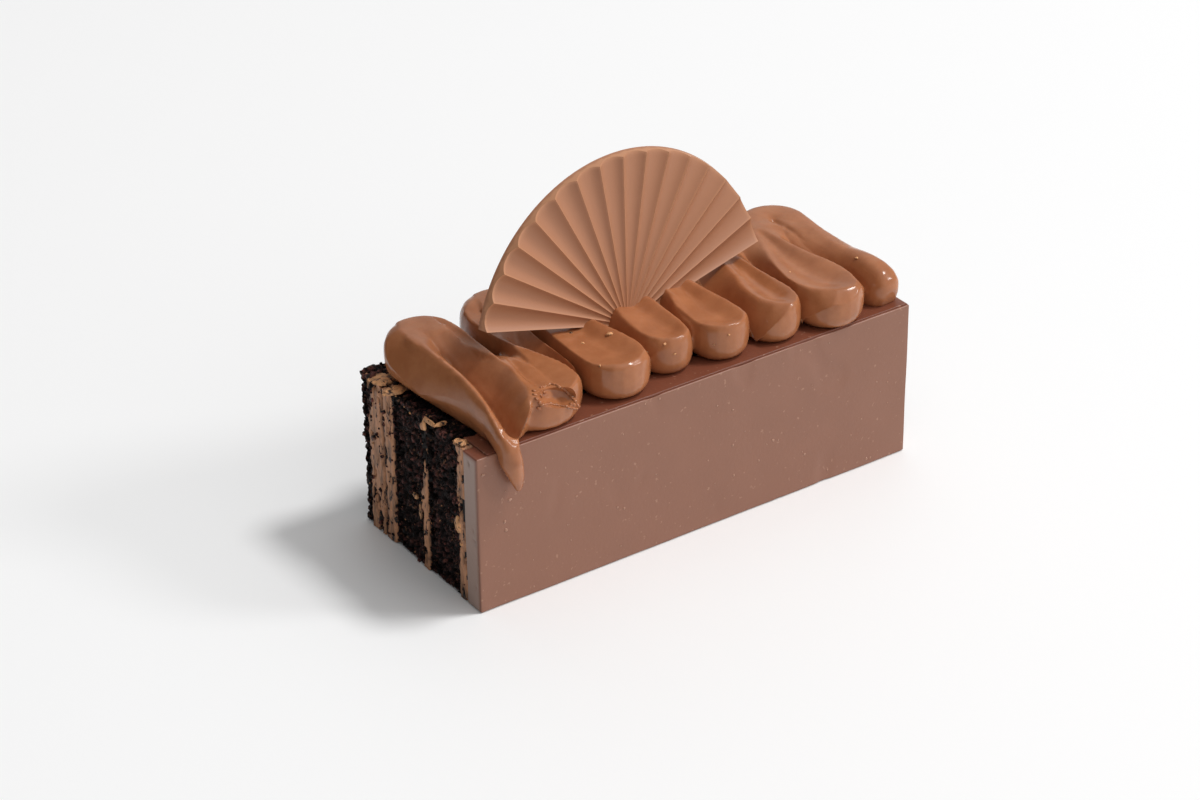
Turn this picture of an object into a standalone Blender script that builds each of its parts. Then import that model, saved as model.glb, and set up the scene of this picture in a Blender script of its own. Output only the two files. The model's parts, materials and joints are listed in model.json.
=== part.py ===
"""Slice of chocolate layer cake, lying on its side so that its layers stand upright.

A bar of dark sponge and light cream bands has a thick ganache slab on its front face. Soft ganache is
piped over the top in a zigzag of fat loops, and a fluted milk chocolate fan is pushed into it.

Axes: +X runs along the bar to the right, +Y from the front face to the back, +Z up.
The origin is the middle of the bar's underside. Units are metres.
"""

import math

import bmesh
import bpy
from mathutils import Matrix, Vector, noise

MM = 0.001

# Driving dimensions of the bar
LENGTH = 122 * MM
DEPTH = 50 * MM
HEIGHT = 40 * MM
GAP = 0.3 * MM

# Where each layer ends, measured from the front face to the back
GANACHE_BACK = 6.0 * MM
FRONT_BAND_BACK = 9.0 * MM
FRONT_SPONGE_BACK = 22.0 * MM
THIN_BAND_BACK = 24.2 * MM
MIDDLE_SPONGE_BACK = 36.0 * MM
NARROW_BAND_BACK = 40.0 * MM
WIDE_BAND_BACK = 46.3 * MM

# Relief of the cut faces: how deep the crumb is torn, and how far apart its lumps are
CRUMB_DEPTH = 0.9 * MM
CRUMB_SIZE = 3.4 * MM
SMEAR_DEPTH = 0.35 * MM
RELIEF_CELL = 4.0 * MM
SLAB_EDGE_RADIUS = 0.5 * MM

# The piped rope: its section is a rounded square, a little taller than it is wide, and its centre
# line runs a little more than one radius above the bar
ROPE_SQUARENESS = 2.6
ROPE_STRETCH = 1.14
ROPE_SIDES = 14
AXIS_SHARE = 1.04
TURN_STEPS = 8
STRAND_STEP = 4.0 * MM

# The hollow in the top of each loop: its floor's height above the bar, how steeply it rises to the
# shoulders, and how far from the turn's front or back it starts
BASIN_FLOOR = 8.6 * MM
BASIN_SLOPE = 0.27
BASIN_START = 4.6 * MM

# Front and back turns of the zigzag: distance from the left end, distance of the rope's centre line
# from the front face, half the distance between the two strands that meet in the turn, and the
# rope's radius there
FRONT_TURNS = (
    (21.8 * MM, 4.3 * MM, 6.9 * MM, 4.8 * MM),
    (43.0 * MM, 5.5 * MM, 3.6 * MM, 4.8 * MM),
    (58.0 * MM, 8.4 * MM, 2.1 * MM, 4.5 * MM),
    (72.2 * MM, 6.4 * MM, 2.7 * MM, 4.6 * MM),
    (86.9 * MM, 5.9 * MM, 2.5 * MM, 4.6 * MM),
    (102.7 * MM, 3.4 * MM, 3.9 * MM, 4.8 * MM),
)
BACK_TURNS = (
    (11.6 * MM, 43.4 * MM, 3.9 * MM, 5.1 * MM),
    (33.8 * MM, 45.0 * MM, 5.4 * MM, 5.0 * MM),
    (50.8 * MM, 44.5 * MM, 4.6 * MM, 4.6 * MM),
    (65.2 * MM, 44.5 * MM, 4.6 * MM, 4.6 * MM),
    (79.7 * MM, 44.5 * MM, 4.5 * MM, 4.6 * MM),
    (95.0 * MM, 44.0 * MM, 4.4 * MM, 4.6 * MM),
    (110.6 * MM, 42.8 * MM, 4.5 * MM, 4.7 * MM),
)

# The rope's loose ends: distance from the left end, distance from the front face, height of the centre
# line above the bar's top, and radius. The first end hangs over the front edge.
TAIL = (
    (9.6 * MM, -1.9 * MM, -10.0 * MM, 0.7 * MM),
    (8.4 * MM, -2.4 * MM, -6.5 * MM, 1.5 * MM),
    (6.6 * MM, -2.1 * MM, -2.2 * MM, 2.4 * MM),
    (5.2 * MM, 0.4 * MM, 1.8 * MM, 3.1 * MM),
    (4.9 * MM, 5.0 * MM, 3.5 * MM, 3.6 * MM),
    (5.2 * MM, 12.0 * MM, 4.3 * MM, 4.1 * MM),
    (6.2 * MM, 24.0 * MM, 4.9 * MM, 4.7 * MM),
)
LAST_END = (
    (114.9 * MM, 30.0 * MM, 4.4 * MM, 4.4 * MM),
    (115.6 * MM, 18.0 * MM, 4.2 * MM, 4.4 * MM),
    (117.2 * MM, 10.0 * MM, 4.1 * MM, 4.5 * MM),
    (118.0 * MM, 7.2 * MM, 4.0 * MM, 4.0 * MM),
    (118.5 * MM, 5.4 * MM, 3.9 * MM, 2.8 * MM),
)

# The first front loop is wide, and more ganache fills the space between its strands
LOOP_FILL = (
    (21.6 * MM, 9.0 * MM, 4.5 * MM, 4.2 * MM),
    (20.8 * MM, 18.0 * MM, 4.3 * MM, 4.0 * MM),
    (20.4 * MM, 25.0 * MM, 3.4 * MM, 3.0 * MM),
)

# The fan: a sector of a disc whose front is fluted. Its rim widens a little from front to back, as it
# does on a piece that has to leave its mould.
FAN_RADIUS = 41.7 * MM
FAN_DRAFT = 0.6 * MM
FAN_HUB_RADIUS = 1.5 * MM
FAN_THICKNESS = 2.5 * MM
FAN_SPAN = math.radians(152.5)
FAN_RINGS = (0.2, 0.45, 0.72)
FAN_FLUTES = 16
FLUTE_STEPS = 8
FLUTE_DEPTH_SHARE = 0.19
FLUTE_SQUARENESS = 2.4
FAN_PIVOT = (56.4 * MM, 22.5 * MM, 45.6 * MM)
FAN_LEAN = math.radians(4.6)
FAN_YAW = math.radians(4.0)
FAN_ROLL = math.radians(2.5)

# Fineness of the piped surface
ROPE_VOXEL = 1.2 * MM
ROPE_SMOOTHING = 3
ROPE_TRIANGLES = 6200


def clear_scene():
    """Remove every object of the scene that the script starts in."""
    for obj in list(bpy.data.objects):
        bpy.data.objects.remove(obj)


def new_collection(name):
    """Return a new collection, linked to the scene."""
    collection = bpy.data.collections.new(name)
    bpy.context.scene.collection.children.link(collection)
    return collection


def make_material(name, colour, roughness):
    """Return a plain material in one colour, for food that has no metal in it."""
    material = bpy.data.materials.new(name)
    material.use_nodes = True
    shader = material.node_tree.nodes["Principled BSDF"]
    shader.inputs["Base Color"].default_value = (*colour, 1.0)
    shader.inputs["Roughness"].default_value = roughness
    shader.inputs["Metallic"].default_value = 0.0
    material.diffuse_color = (*colour, 1.0)
    return material


def add_object(name, bm, material, collection):
    """Turn a bmesh into a named object with one material."""
    mesh = bpy.data.meshes.new(name)
    bm.to_mesh(mesh)
    bm.free()
    mesh.materials.append(material)
    obj = bpy.data.objects.new(name, mesh)
    collection.objects.link(obj)
    return obj


def on_bar(from_left, from_front, height):
    """A point given from the bar's left end, front face and underside, in the object's own frame."""
    return Vector((from_left - LENGTH / 2, from_front - DEPTH / 2, height))


def block(front, back, cell=RELIEF_CELL, back_cell=None):
    """A layer from front to back, as long and as high as the bar, with fine end faces.

    Where back_cell is given, the back face is divided too, so that it can take relief.
    """
    bm = bmesh.new()
    bmesh.ops.create_cube(bm, size=1.0)
    bmesh.ops.scale(bm, vec=Vector((LENGTH, back - front, HEIGHT)), verts=bm.verts)
    centre = on_bar(LENGTH / 2, (front + back) / 2, HEIGHT / 2)
    bmesh.ops.translate(bm, vec=centre, verts=bm.verts)
    widths = [(2, HEIGHT, cell), (1, back - front, cell)]
    if back_cell:
        widths.append((0, LENGTH, back_cell))
    for axis, width, step in widths:
        cuts = max(1, round(width / step) - 1)
        edges = [e for e in bm.edges if abs((e.verts[0].co - e.verts[1].co)[axis]) > width / 2]
        bmesh.ops.subdivide_edges(bm, edges=edges, cuts=cuts, use_grid_fill=True)
    return bm


def roughen_ends(bm, depth, size, seed):
    """Push the points of both cut ends in and out, as a knife tears crumb."""
    for vert in bm.verts:
        if abs(abs(vert.co.x) - LENGTH / 2) > GAP:
            continue
        side = math.copysign(1, vert.co.x)
        sample = Vector((side * seed, vert.co.y / size, vert.co.z / size))
        vert.co.x -= side * depth * (0.5 + 0.5 * noise.noise(sample + Vector((seed, 0.3, 0.7))))


def roughen_back(bm, face_y, depth, size):
    """Tear the bare back of the last sponge, and leave its underside flat."""
    for vert in bm.verts:
        if abs(vert.co.y - face_y) > GAP:
            continue
        sample = Vector((vert.co.x / size, 0.5, vert.co.z / size))
        vert.co.y -= depth * (0.5 + 0.5 * noise.noise(sample))


def make_layers(collection):
    """The upright layers, front to back: slab, bands of cream and three sponges."""
    sponge = make_material("dark_sponge", (0.018, 0.009, 0.008), 0.9)
    cream = make_material("chocolate_cream", (0.40, 0.22, 0.13), 0.6)
    ganache = make_material("ganache", (0.17, 0.075, 0.055), 0.35)
    layers = (
        ("ganache_slab", 0.0, GANACHE_BACK, ganache, 0.0),
        ("cream_band_front", GANACHE_BACK, FRONT_BAND_BACK, cream, SMEAR_DEPTH),
        ("sponge_front", FRONT_BAND_BACK, FRONT_SPONGE_BACK, sponge, CRUMB_DEPTH),
        ("cream_band_thin", FRONT_SPONGE_BACK, THIN_BAND_BACK, cream, SMEAR_DEPTH),
        ("sponge_middle", THIN_BAND_BACK, MIDDLE_SPONGE_BACK, sponge, CRUMB_DEPTH),
        ("cream_band_narrow", MIDDLE_SPONGE_BACK, NARROW_BAND_BACK, cream, SMEAR_DEPTH),
        ("cream_band_wide", NARROW_BAND_BACK, WIDE_BAND_BACK, cream, SMEAR_DEPTH),
        ("sponge_back", WIDE_BAND_BACK, DEPTH, sponge, CRUMB_DEPTH),
    )
    for number, (name, front, back, material, relief) in enumerate(layers):
        is_first = number == 0
        is_last = number == len(layers) - 1
        front_face = front if is_first else front + GAP / 2
        back_face = back if is_last else back - GAP / 2
        bm = block(front_face, back_face, back_cell=RELIEF_CELL if is_last else None)
        if relief:
            roughen_ends(bm, relief, CRUMB_SIZE, number + 1)
        if is_last:
            roughen_back(bm, DEPTH / 2, CRUMB_DEPTH, CRUMB_SIZE)
        obj = add_object(name, bm, material, collection)
        if is_first:
            round_edges(obj)


def round_edges(obj):
    """Soften the four long edges and the corners of the slab."""
    bevel = obj.modifiers.new("soft_edges", "BEVEL")
    bevel.width = SLAB_EDGE_RADIUS
    bevel.segments = 2
    bevel.limit_method = "ANGLE"


def turn_points(turn, side):
    """The centre line round one turn, left to right. Side is -1 at the front and 1 at the back."""
    from_left, from_front, half, radius = turn
    points = []
    for step in range(TURN_STEPS + 1):
        angle = math.pi * (1 - step / TURN_STEPS)
        x = from_left + half * math.cos(angle)
        y = from_front + side * half * (math.sin(angle) - 1)
        points.append((x, y, radius * AXIS_SHARE, radius))
    return points


def rope_line():
    """The whole zigzag from the hanging tail to the last end."""
    line = list(TAIL)
    for number, back_turn in enumerate(BACK_TURNS):
        line += turn_points(back_turn, 1)
        if number < len(FRONT_TURNS):
            line += turn_points(FRONT_TURNS[number], -1)
    line += LAST_END
    return line


def filled_line(line):
    """The same line with more points, so that no step is longer than the strand step."""
    filled = [line[0]]
    for after in line[1:]:
        before = filled[-1]
        length = math.dist(before[:3], after[:3])
        count = max(1, round(length / STRAND_STEP))
        for step in range(1, count + 1):
            share = step / count
            filled.append(tuple(b + (a - b) * share for a, b in zip(after, before)))
    return filled


def add_curve(name, lines, closed=False):
    """A curve along each line, whose points are given as x, y, z and radius."""
    curve = bpy.data.curves.new(name, "CURVE")
    curve.dimensions = "3D"
    for line in lines:
        spline = curve.splines.new("POLY")
        spline.points.add(len(line) - 1)
        spline.use_cyclic_u = closed
        for point, (x, y, z, radius) in zip(spline.points, line):
            point.co = (x, y, z, 1.0)
            point.radius = radius
    guide = bpy.data.objects.new(name, curve)
    bpy.context.scene.collection.objects.link(guide)
    return guide


def rope_section():
    """The rounded square that the rope is swept from, one unit in half width."""
    points = []
    for side in range(ROPE_SIDES):
        angle = 2 * math.pi * side / ROPE_SIDES
        across, up = math.cos(angle), math.sin(angle)
        reach = (abs(across) ** ROPE_SQUARENESS + abs(up) ** ROPE_SQUARENESS) ** (-1 / ROPE_SQUARENESS)
        points.append((across * reach, up * reach * ROPE_STRETCH, 0.0, 1.0))
    return add_curve("rope_section", [points], closed=True)


def make_rope_mesh():
    """Sweep the section along the zigzag and return it as a mesh, overlaps and all."""
    lines = []
    for line in (rope_line(), LOOP_FILL):
        lines.append([(*on_bar(x, y, HEIGHT + above), radius) for x, y, above, radius in filled_line(line)])
    guide = add_curve("rope_line", lines)
    section = rope_section()
    guide.data.bevel_mode = "OBJECT"
    guide.data.bevel_object = section
    guide.data.twist_mode = "Z_UP"
    guide.data.use_fill_caps = True
    graph = bpy.context.evaluated_depsgraph_get()
    mesh = bpy.data.meshes.new_from_object(guide.evaluated_get(graph))
    bpy.data.objects.remove(guide)
    bpy.data.objects.remove(section)
    bm = bmesh.new()
    bm.from_mesh(mesh)
    bpy.data.meshes.remove(mesh)
    bmesh.ops.remove_doubles(bm, verts=bm.verts, dist=GAP / 10)
    return bm


def distance_to_line(point, start, end):
    """How far a flat point lies from the stretch between two others."""
    along = end - start
    share = max(0.0, min(1.0, (point - start).dot(along) / along.length_squared))
    return (point - start - along * share).length


def basin_lines():
    """The middle line of the hollow in the top of each loop, from its turn to halfway over the bar."""
    lines = []
    middle = DEPTH / 2
    for turns, side in ((FRONT_TURNS, -1), (BACK_TURNS, 1)):
        for from_left, from_front, _, _ in turns:
            start = on_bar(from_left, from_front - side * BASIN_START, 0).to_2d()
            end = on_bar(from_left, middle + side * BASIN_START, 0).to_2d()
            lines.append((start, end))
    return lines


def sink_basins(bm):
    """Lower the tops of the loops to a shallow valley with a crisp shoulder round it."""
    lines = basin_lines()
    for vert in bm.verts:
        flat = vert.co.to_2d()
        away = min(distance_to_line(flat, start, end) for start, end in lines)
        cap = HEIGHT + BASIN_FLOOR + BASIN_SLOPE * away
        if vert.co.z > cap:
            vert.co.z = cap


def apply_modifiers(obj):
    """Replace an object's mesh by what its modifiers make of it."""
    graph = bpy.context.evaluated_depsgraph_get()
    mesh = bpy.data.meshes.new_from_object(obj.evaluated_get(graph))
    obj.modifiers.clear()
    obj.data = mesh


def add_cut(obj, cutter):
    """Cut one object out of another."""
    cut = obj.modifiers.new("cut_" + cutter.name, "BOOLEAN")
    cut.operation = "DIFFERENCE"
    cut.object = cutter
    cut.solver = "EXACT"


def hide_cutter(cutter):
    """Show a cutter as a wire, and leave it out of the model."""
    cutter.hide_render = True
    cutter.display_type = "WIRE"


def make_piping(collection, cutters, slot):
    """The piped zigzag: one soft body that rests on the bar, with a slot where the fan stands."""
    material = make_material("piped_ganache", (0.21, 0.085, 0.048), 0.3)
    piping = add_object("piped_ganache", make_rope_mesh(), material, collection)
    fuse = piping.modifiers.new("fuse", "REMESH")
    fuse.mode = "VOXEL"
    fuse.voxel_size = ROPE_VOXEL
    soften = piping.modifiers.new("soften", "SMOOTH")
    soften.factor = 0.5
    soften.iterations = ROPE_SMOOTHING
    apply_modifiers(piping)

    bm = bmesh.new()
    bm.from_mesh(piping.data)
    sink_basins(bm)
    bm.to_mesh(piping.data)
    bm.free()

    thin = piping.modifiers.new("thin", "DECIMATE")
    thin.ratio = ROPE_TRIANGLES / (2 * len(piping.data.polygons))
    apply_modifiers(piping)
    piping.data.materials.clear()
    piping.data.materials.append(material)

    bm = bmesh.new()
    bmesh.ops.create_cube(bm, size=1.0)
    reach = 2 * LENGTH
    bmesh.ops.scale(bm, vec=Vector((reach, reach, reach)), verts=bm.verts)
    corner = Vector((0, -DEPTH / 2 - GAP + reach / 2, HEIGHT + GAP - reach / 2))
    bmesh.ops.translate(bm, vec=corner, verts=bm.verts)
    room = add_object("room_for_bar", bm, material, cutters)
    for cutter in (room, slot):
        hide_cutter(cutter)
        add_cut(piping, cutter)
    piping.data.shade_smooth()


def flute_depth(radius, angle):
    """How deep the fan's front is hollowed at a point, given by its radius and its angle in the span."""
    flute = angle / FAN_SPAN * FAN_FLUTES
    across = abs(2 * (flute - math.floor(flute)) - 1)
    width = radius * FAN_SPAN / FAN_FLUTES
    return FLUTE_DEPTH_SHARE * width * (1 - across**FLUTE_SQUARENESS)


def spin_sector(radii, front, back, steps):
    """A solid sector of a disc in the XZ plane, spun about Y, with its front at -Y."""
    bm = bmesh.new()
    loop = [bm.verts.new((radius, front, 0)) for radius in radii]
    loop += [bm.verts.new((radius, back, 0)) for radius in (radii[-1], radii[0])]
    edges = [bm.edges.new((a, b)) for a, b in zip(loop, loop[1:] + loop[:1])]
    spun = bmesh.ops.spin(
        bm, geom=loop + edges, axis=(0, 1, 0), cent=(0, 0, 0), angle=-FAN_SPAN, steps=steps
    )
    last_edges = [e for e in spun["geom_last"] if isinstance(e, bmesh.types.BMEdge)]
    bmesh.ops.contextual_create(bm, geom=edges)
    bmesh.ops.contextual_create(bm, geom=last_edges)
    bmesh.ops.recalc_face_normals(bm, faces=bm.faces)
    return bm


def fan_placement():
    """Stand the sector up over its pivot, tipped a little to the right, then lean and turn it."""
    upright = Matrix.Rotation(FAN_ROLL - (math.pi - FAN_SPAN) / 2, 4, "Y")
    lean = Matrix.Rotation(-FAN_LEAN, 4, "X")
    yaw = Matrix.Rotation(FAN_YAW, 4, "Z")
    return Matrix.Translation(on_bar(*FAN_PIVOT)) @ yaw @ lean @ upright


def make_fan(collection):
    """The fan: a flat back, and sixteen hollow flutes that run out through the round rim."""
    material = make_material("milk_chocolate", (0.33, 0.155, 0.09), 0.45)
    radii = [FAN_HUB_RADIUS, *(share * FAN_RADIUS for share in FAN_RINGS), FAN_RADIUS]
    bm = spin_sector(radii, 0.0, FAN_THICKNESS, FAN_FLUTES * FLUTE_STEPS)
    for vert in bm.verts:
        if vert.co.y > FAN_THICKNESS / 2:
            continue
        radius = math.hypot(vert.co.x, vert.co.z)
        vert.co.y += flute_depth(radius, math.atan2(vert.co.z, vert.co.x))
        if radius > FAN_RADIUS - GAP:
            draft = FAN_DRAFT * (1 - vert.co.y / FAN_THICKNESS)
            vert.co.x *= 1 - draft / radius
            vert.co.z *= 1 - draft / radius
    bm.transform(fan_placement())
    fan = add_object("chocolate_fan", bm, material, collection)
    fan.data.shade_smooth()
    fan.data.set_sharp_from_angle(angle=math.radians(35))


def make_fan_slot(cutters):
    """A plain sector a little larger than the fan, which opens the slot that the fan stands in."""
    material = make_material("slot", (0.5, 0.5, 0.5), 0.5)
    radii = [FAN_HUB_RADIUS - GAP, FAN_RADIUS + GAP]
    bm = spin_sector(radii, -GAP, FAN_THICKNESS + GAP, FAN_FLUTES)
    bm.transform(fan_placement())
    return add_object("fan_slot", bm, material, cutters)


def main():
    clear_scene()
    cake = new_collection("chocolate_cake_slice")
    cutters = new_collection("cutters")
    make_layers(cake)
    make_fan(cake)
    make_piping(cake, cutters, make_fan_slot(cutters))


main()
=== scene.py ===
"""A slice of chocolate layer cake: torn crumb, smeared cream, a ganache slab, piped ganache and a fan.

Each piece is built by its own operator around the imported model, in metres, with +X along the bar to the
right, +Y from the ganache face to the back and +Z up.
"""

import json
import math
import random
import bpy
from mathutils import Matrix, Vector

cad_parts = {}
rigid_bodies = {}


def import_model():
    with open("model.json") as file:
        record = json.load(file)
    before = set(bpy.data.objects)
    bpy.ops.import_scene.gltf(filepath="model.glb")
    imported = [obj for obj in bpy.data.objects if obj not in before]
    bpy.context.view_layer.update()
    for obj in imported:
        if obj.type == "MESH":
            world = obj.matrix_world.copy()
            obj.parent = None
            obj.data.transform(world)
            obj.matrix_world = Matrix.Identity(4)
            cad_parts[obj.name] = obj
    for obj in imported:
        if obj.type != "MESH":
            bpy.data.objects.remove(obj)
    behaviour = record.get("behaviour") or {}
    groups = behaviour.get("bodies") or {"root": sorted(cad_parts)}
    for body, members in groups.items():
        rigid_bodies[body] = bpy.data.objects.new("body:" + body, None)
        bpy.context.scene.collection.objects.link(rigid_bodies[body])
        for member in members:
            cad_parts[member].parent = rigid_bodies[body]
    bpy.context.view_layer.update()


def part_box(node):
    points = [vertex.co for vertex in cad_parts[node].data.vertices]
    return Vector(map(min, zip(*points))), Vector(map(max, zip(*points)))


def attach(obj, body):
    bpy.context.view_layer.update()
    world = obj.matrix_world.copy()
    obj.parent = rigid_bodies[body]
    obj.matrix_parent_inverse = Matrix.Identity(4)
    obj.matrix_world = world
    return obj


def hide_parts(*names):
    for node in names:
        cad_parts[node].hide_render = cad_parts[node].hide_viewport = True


bl_info = {
    "name": "Chocolate Cake Slice",
    "version": (1, 0, 0),
    "blender": (4, 5, 0),
    "location": "View3D > Sidebar > Cake",
    "description": "Builds a slice of layer cake with piped ganache and a moulded chocolate fan",
    "category": "Add Mesh",
}

import bmesh
import bpy
import numpy as np
from bpy.props import FloatProperty, FloatVectorProperty, PointerProperty
from mathutils import Matrix, Vector, noise
from mathutils.bvhtree import BVHTree

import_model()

MM = 0.001
BODY = "root"

# The bar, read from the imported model
SLAB_LOW, SLAB_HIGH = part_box("ganache_slab")
_, BACK_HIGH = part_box("sponge_back")
LENGTH = SLAB_HIGH.x - SLAB_LOW.x
DEPTH = BACK_HIGH.y - SLAB_LOW.y
HEIGHT = SLAB_HIGH.z


def in_metres(*rows):
    """Turn rows of millimetres into metres."""
    return tuple(tuple(value * MM for value in row) for row in rows)


# Front and back turns of the zigzag: distance from the left end, distance of the rope's centre line
# from the front face, half the distance between the two strands that meet there, and the rope's radius
FRONT_TURNS = in_metres(
    (21.8, 4.3, 6.9, 4.8),
    (43.0, 5.5, 3.6, 4.8),
    (58.0, 8.4, 2.1, 4.5),
    (72.2, 6.4, 2.7, 4.6),
    (86.9, 5.9, 2.5, 4.6),
    (102.7, 3.4, 3.9, 4.8),
)
BACK_TURNS = in_metres(
    (11.6, 43.4, 3.9, 5.1),
    (33.8, 45.0, 5.4, 5.0),
    (50.8, 44.5, 4.6, 4.6),
    (65.2, 44.5, 4.6, 4.6),
    (79.7, 44.5, 4.5, 4.6),
    (95.0, 44.0, 4.4, 4.6),
    (110.6, 42.8, 4.5, 4.7),
)

# The rope's loose ends: distance from the left end, distance from the front face, height of the centre
# line above the bar's top, and radius
TAIL = in_metres(
    (9.7, -1.9, -10.0, 0.7),
    (8.7, -2.3, -6.5, 1.4),
    (7.5, -2.0, -2.2, 2.0),
    (7.8, 0.4, 2.0, 2.8),
    (8.7, 5.0, 4.1, 3.3),
    (9.2, 12.0, 5.0, 3.7),
    (8.7, 20.0, 5.4, 4.1),
    (7.5, 28.0, 5.2, 4.6),
)
LAST_END = in_metres(
    (114.9, 30.0, 4.4, 4.4),
    (115.6, 18.0, 3.7, 4.4),
    (116.6, 11.0, 3.0, 4.7),
    (117.0, 8.0, 2.6, 4.7),
    (117.4, 5.6, 2.1, 4.4),
    (117.7, 3.9, 1.6, 3.7),
    (117.8, 2.7, 1.2, 2.4),
)
# Soft ganache that fills the first loop, and that the tail strand rests on
TAIL_FOOT = in_metres(
    (8.0, 2.0, 1.4, 1.8),
    (8.2, 12.0, 1.8, 2.2),
    (7.4, 28.0, 2.2, 2.8),
)
LOOP_FILL = in_metres(
    (21.6, 9.0, 4.5, 4.2),
    (20.8, 18.0, 4.3, 4.0),
    (20.4, 25.0, 3.4, 3.0),
)
# The end of the second strand, which laps over the first loop, and the plane that its lip was torn off
# along, given by a point and a direction
TONGUE = in_metres(
    (14.6, 17.0, 4.9, 4.4),
    (13.4, 9.0, 4.8, 4.2),
    (12.6, 4.0, 4.7, 4.0),
    (12.4, 1.6, 4.6, 3.7),
    (12.4, 0.0, 4.4, 3.0),
    (12.4, -1.0, 4.2, 1.8),
)
LIP_POINT = (13.9 * MM, -0.5 * MM, 49.3 * MM)
LIP_FACING = (0.55, -0.8, -0.22)
# The bite torn out of the first loop's front: its middle, its reach along each axis, and its tilt
BITE_MIDDLE = (21.8 * MM, -0.2 * MM, 48.6 * MM)
BITE_REACH = (5.8 * MM, 4.0 * MM, 2.6 * MM)
BITE_TILT = math.radians(22)

# Lines on the top of the piping, in millimetres from the left end, from the front face and above the
# floor. A finger's ridge is the crisp edge that closes round its hollow top.
FINGER_RIDGES = (
    (
        (19.8, 21.4, 51.1), (19.5, 15.8, 50.8), (17.6, 9.0, 50.5), (17.3, 5.6, 50.1), (15.8, 2.6, 49.8),
        (16.5, 0.8, 49.6), (20.0, -0.2, 49.3), (25.0, -0.4, 49.2), (28.6, 0.8, 49.6), (29.9, 3.8, 49.8),
        (30.2, 7.4, 49.9), (30.0, 11.3, 50.0), (28.6, 15.0, 50.2), (26.8, 19.0, 50.5), (25.0, 22.5, 50.7),
        (23.8, 25.5, 50.8), (21.8, 23.8, 49.9),
    ),
    (
        (34.6, 22.0, 50.0), (34.0, 18.5, 49.8), (33.7, 15.0, 49.6), (33.9, 11.8, 49.5), (34.3, 9.2, 49.5),
        (35.3, 6.9, 49.5), (36.6, 4.8, 49.6), (39.0, 3.2, 49.7), (42.4, 2.0, 49.7), (45.9, 2.6, 49.7),
        (48.4, 4.4, 49.8), (49.3, 8.0, 49.9), (49.0, 12.5, 50.0), (48.4, 15.5, 50.1), (47.2, 19.0, 50.3),
        (46.2, 24.0, 50.5), (45.0, 30.0, 50.6), (42.0, 35.0, 50.7), (38.5, 32.0, 50.5), (36.2, 27.0, 50.3),
    ),
    (
        (53.2, 22.5, 50.9), (52.6, 19.4, 50.3), (52.2, 15.6, 50.0), (52.2, 11.9, 49.8), (52.9, 9.2, 49.7),
        (54.3, 7.1, 49.7), (56.2, 5.7, 49.7), (58.6, 5.2, 49.7), (60.6, 5.0, 49.7), (62.2, 6.6, 49.8),
        (63.1, 11.0, 49.9), (63.1, 16.7, 50.2), (63.0, 21.6, 50.8), (62.0, 27.0, 50.9), (60.0, 32.0, 50.8),
        (57.5, 34.0, 50.8), (55.0, 31.0, 50.8), (53.8, 27.0, 50.9),
    ),
    (
        (67.7, 21.8, 50.5), (65.6, 16.4, 50.1), (64.8, 12.2, 49.9), (64.9, 8.9, 49.7), (65.8, 7.0, 49.7),
        (67.9, 4.4, 49.7), (69.8, 2.7, 49.7), (72.8, 1.9, 49.7), (74.9, 1.8, 49.7), (76.4, 2.8, 49.7),
        (77.3, 5.2, 49.8), (77.5, 8.0, 49.9), (77.3, 12.5, 50.1), (76.4, 17.9, 50.3), (75.5, 23.4, 50.6),
        (74.6, 29.0, 50.7), (72.5, 33.5, 50.7), (70.5, 31.0, 50.7), (69.0, 27.0, 50.6),
    ),
    (
        (86.3, 24.5, 50.5), (85.4, 20.0, 50.3), (84.3, 17.2, 50.1), (83.6, 12.3, 49.9), (83.9, 8.7, 49.8),
        (85.5, 5.2, 49.7), (87.9, 2.8, 49.7), (90.0, 2.0, 49.7), (91.6, 3.4, 49.7), (92.3, 5.6, 49.8),
        (92.9, 9.0, 49.9), (92.5, 14.0, 50.1), (92.2, 17.0, 50.2), (91.9, 22.0, 50.4), (91.6, 27.0, 50.6),
        (90.5, 31.5, 50.7), (88.8, 32.0, 50.7), (87.5, 29.0, 50.6),
    ),
    (
        (101.7, 33.0, 50.5), (99.7, 27.9, 50.3), (97.5, 22.5, 50.2), (96.1, 18.0, 50.1),
        (95.0, 13.2, 50.0), (95.3, 9.0, 49.8), (96.6, 6.0, 49.7), (98.4, 4.0, 49.7), (100.8, 2.0, 49.7),
        (103.4, 1.0, 49.7), (105.8, 0.8, 49.7), (107.8, 2.6, 49.7), (109.0, 7.0, 49.8),
        (109.1, 11.0, 49.9), (108.5, 14.0, 50.1), (106.9, 19.2, 50.3), (105.9, 25.5, 50.4),
        (105.2, 31.0, 50.6), (104.8, 35.0, 50.7), (103.3, 36.5, 50.7),
    ),
)
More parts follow.
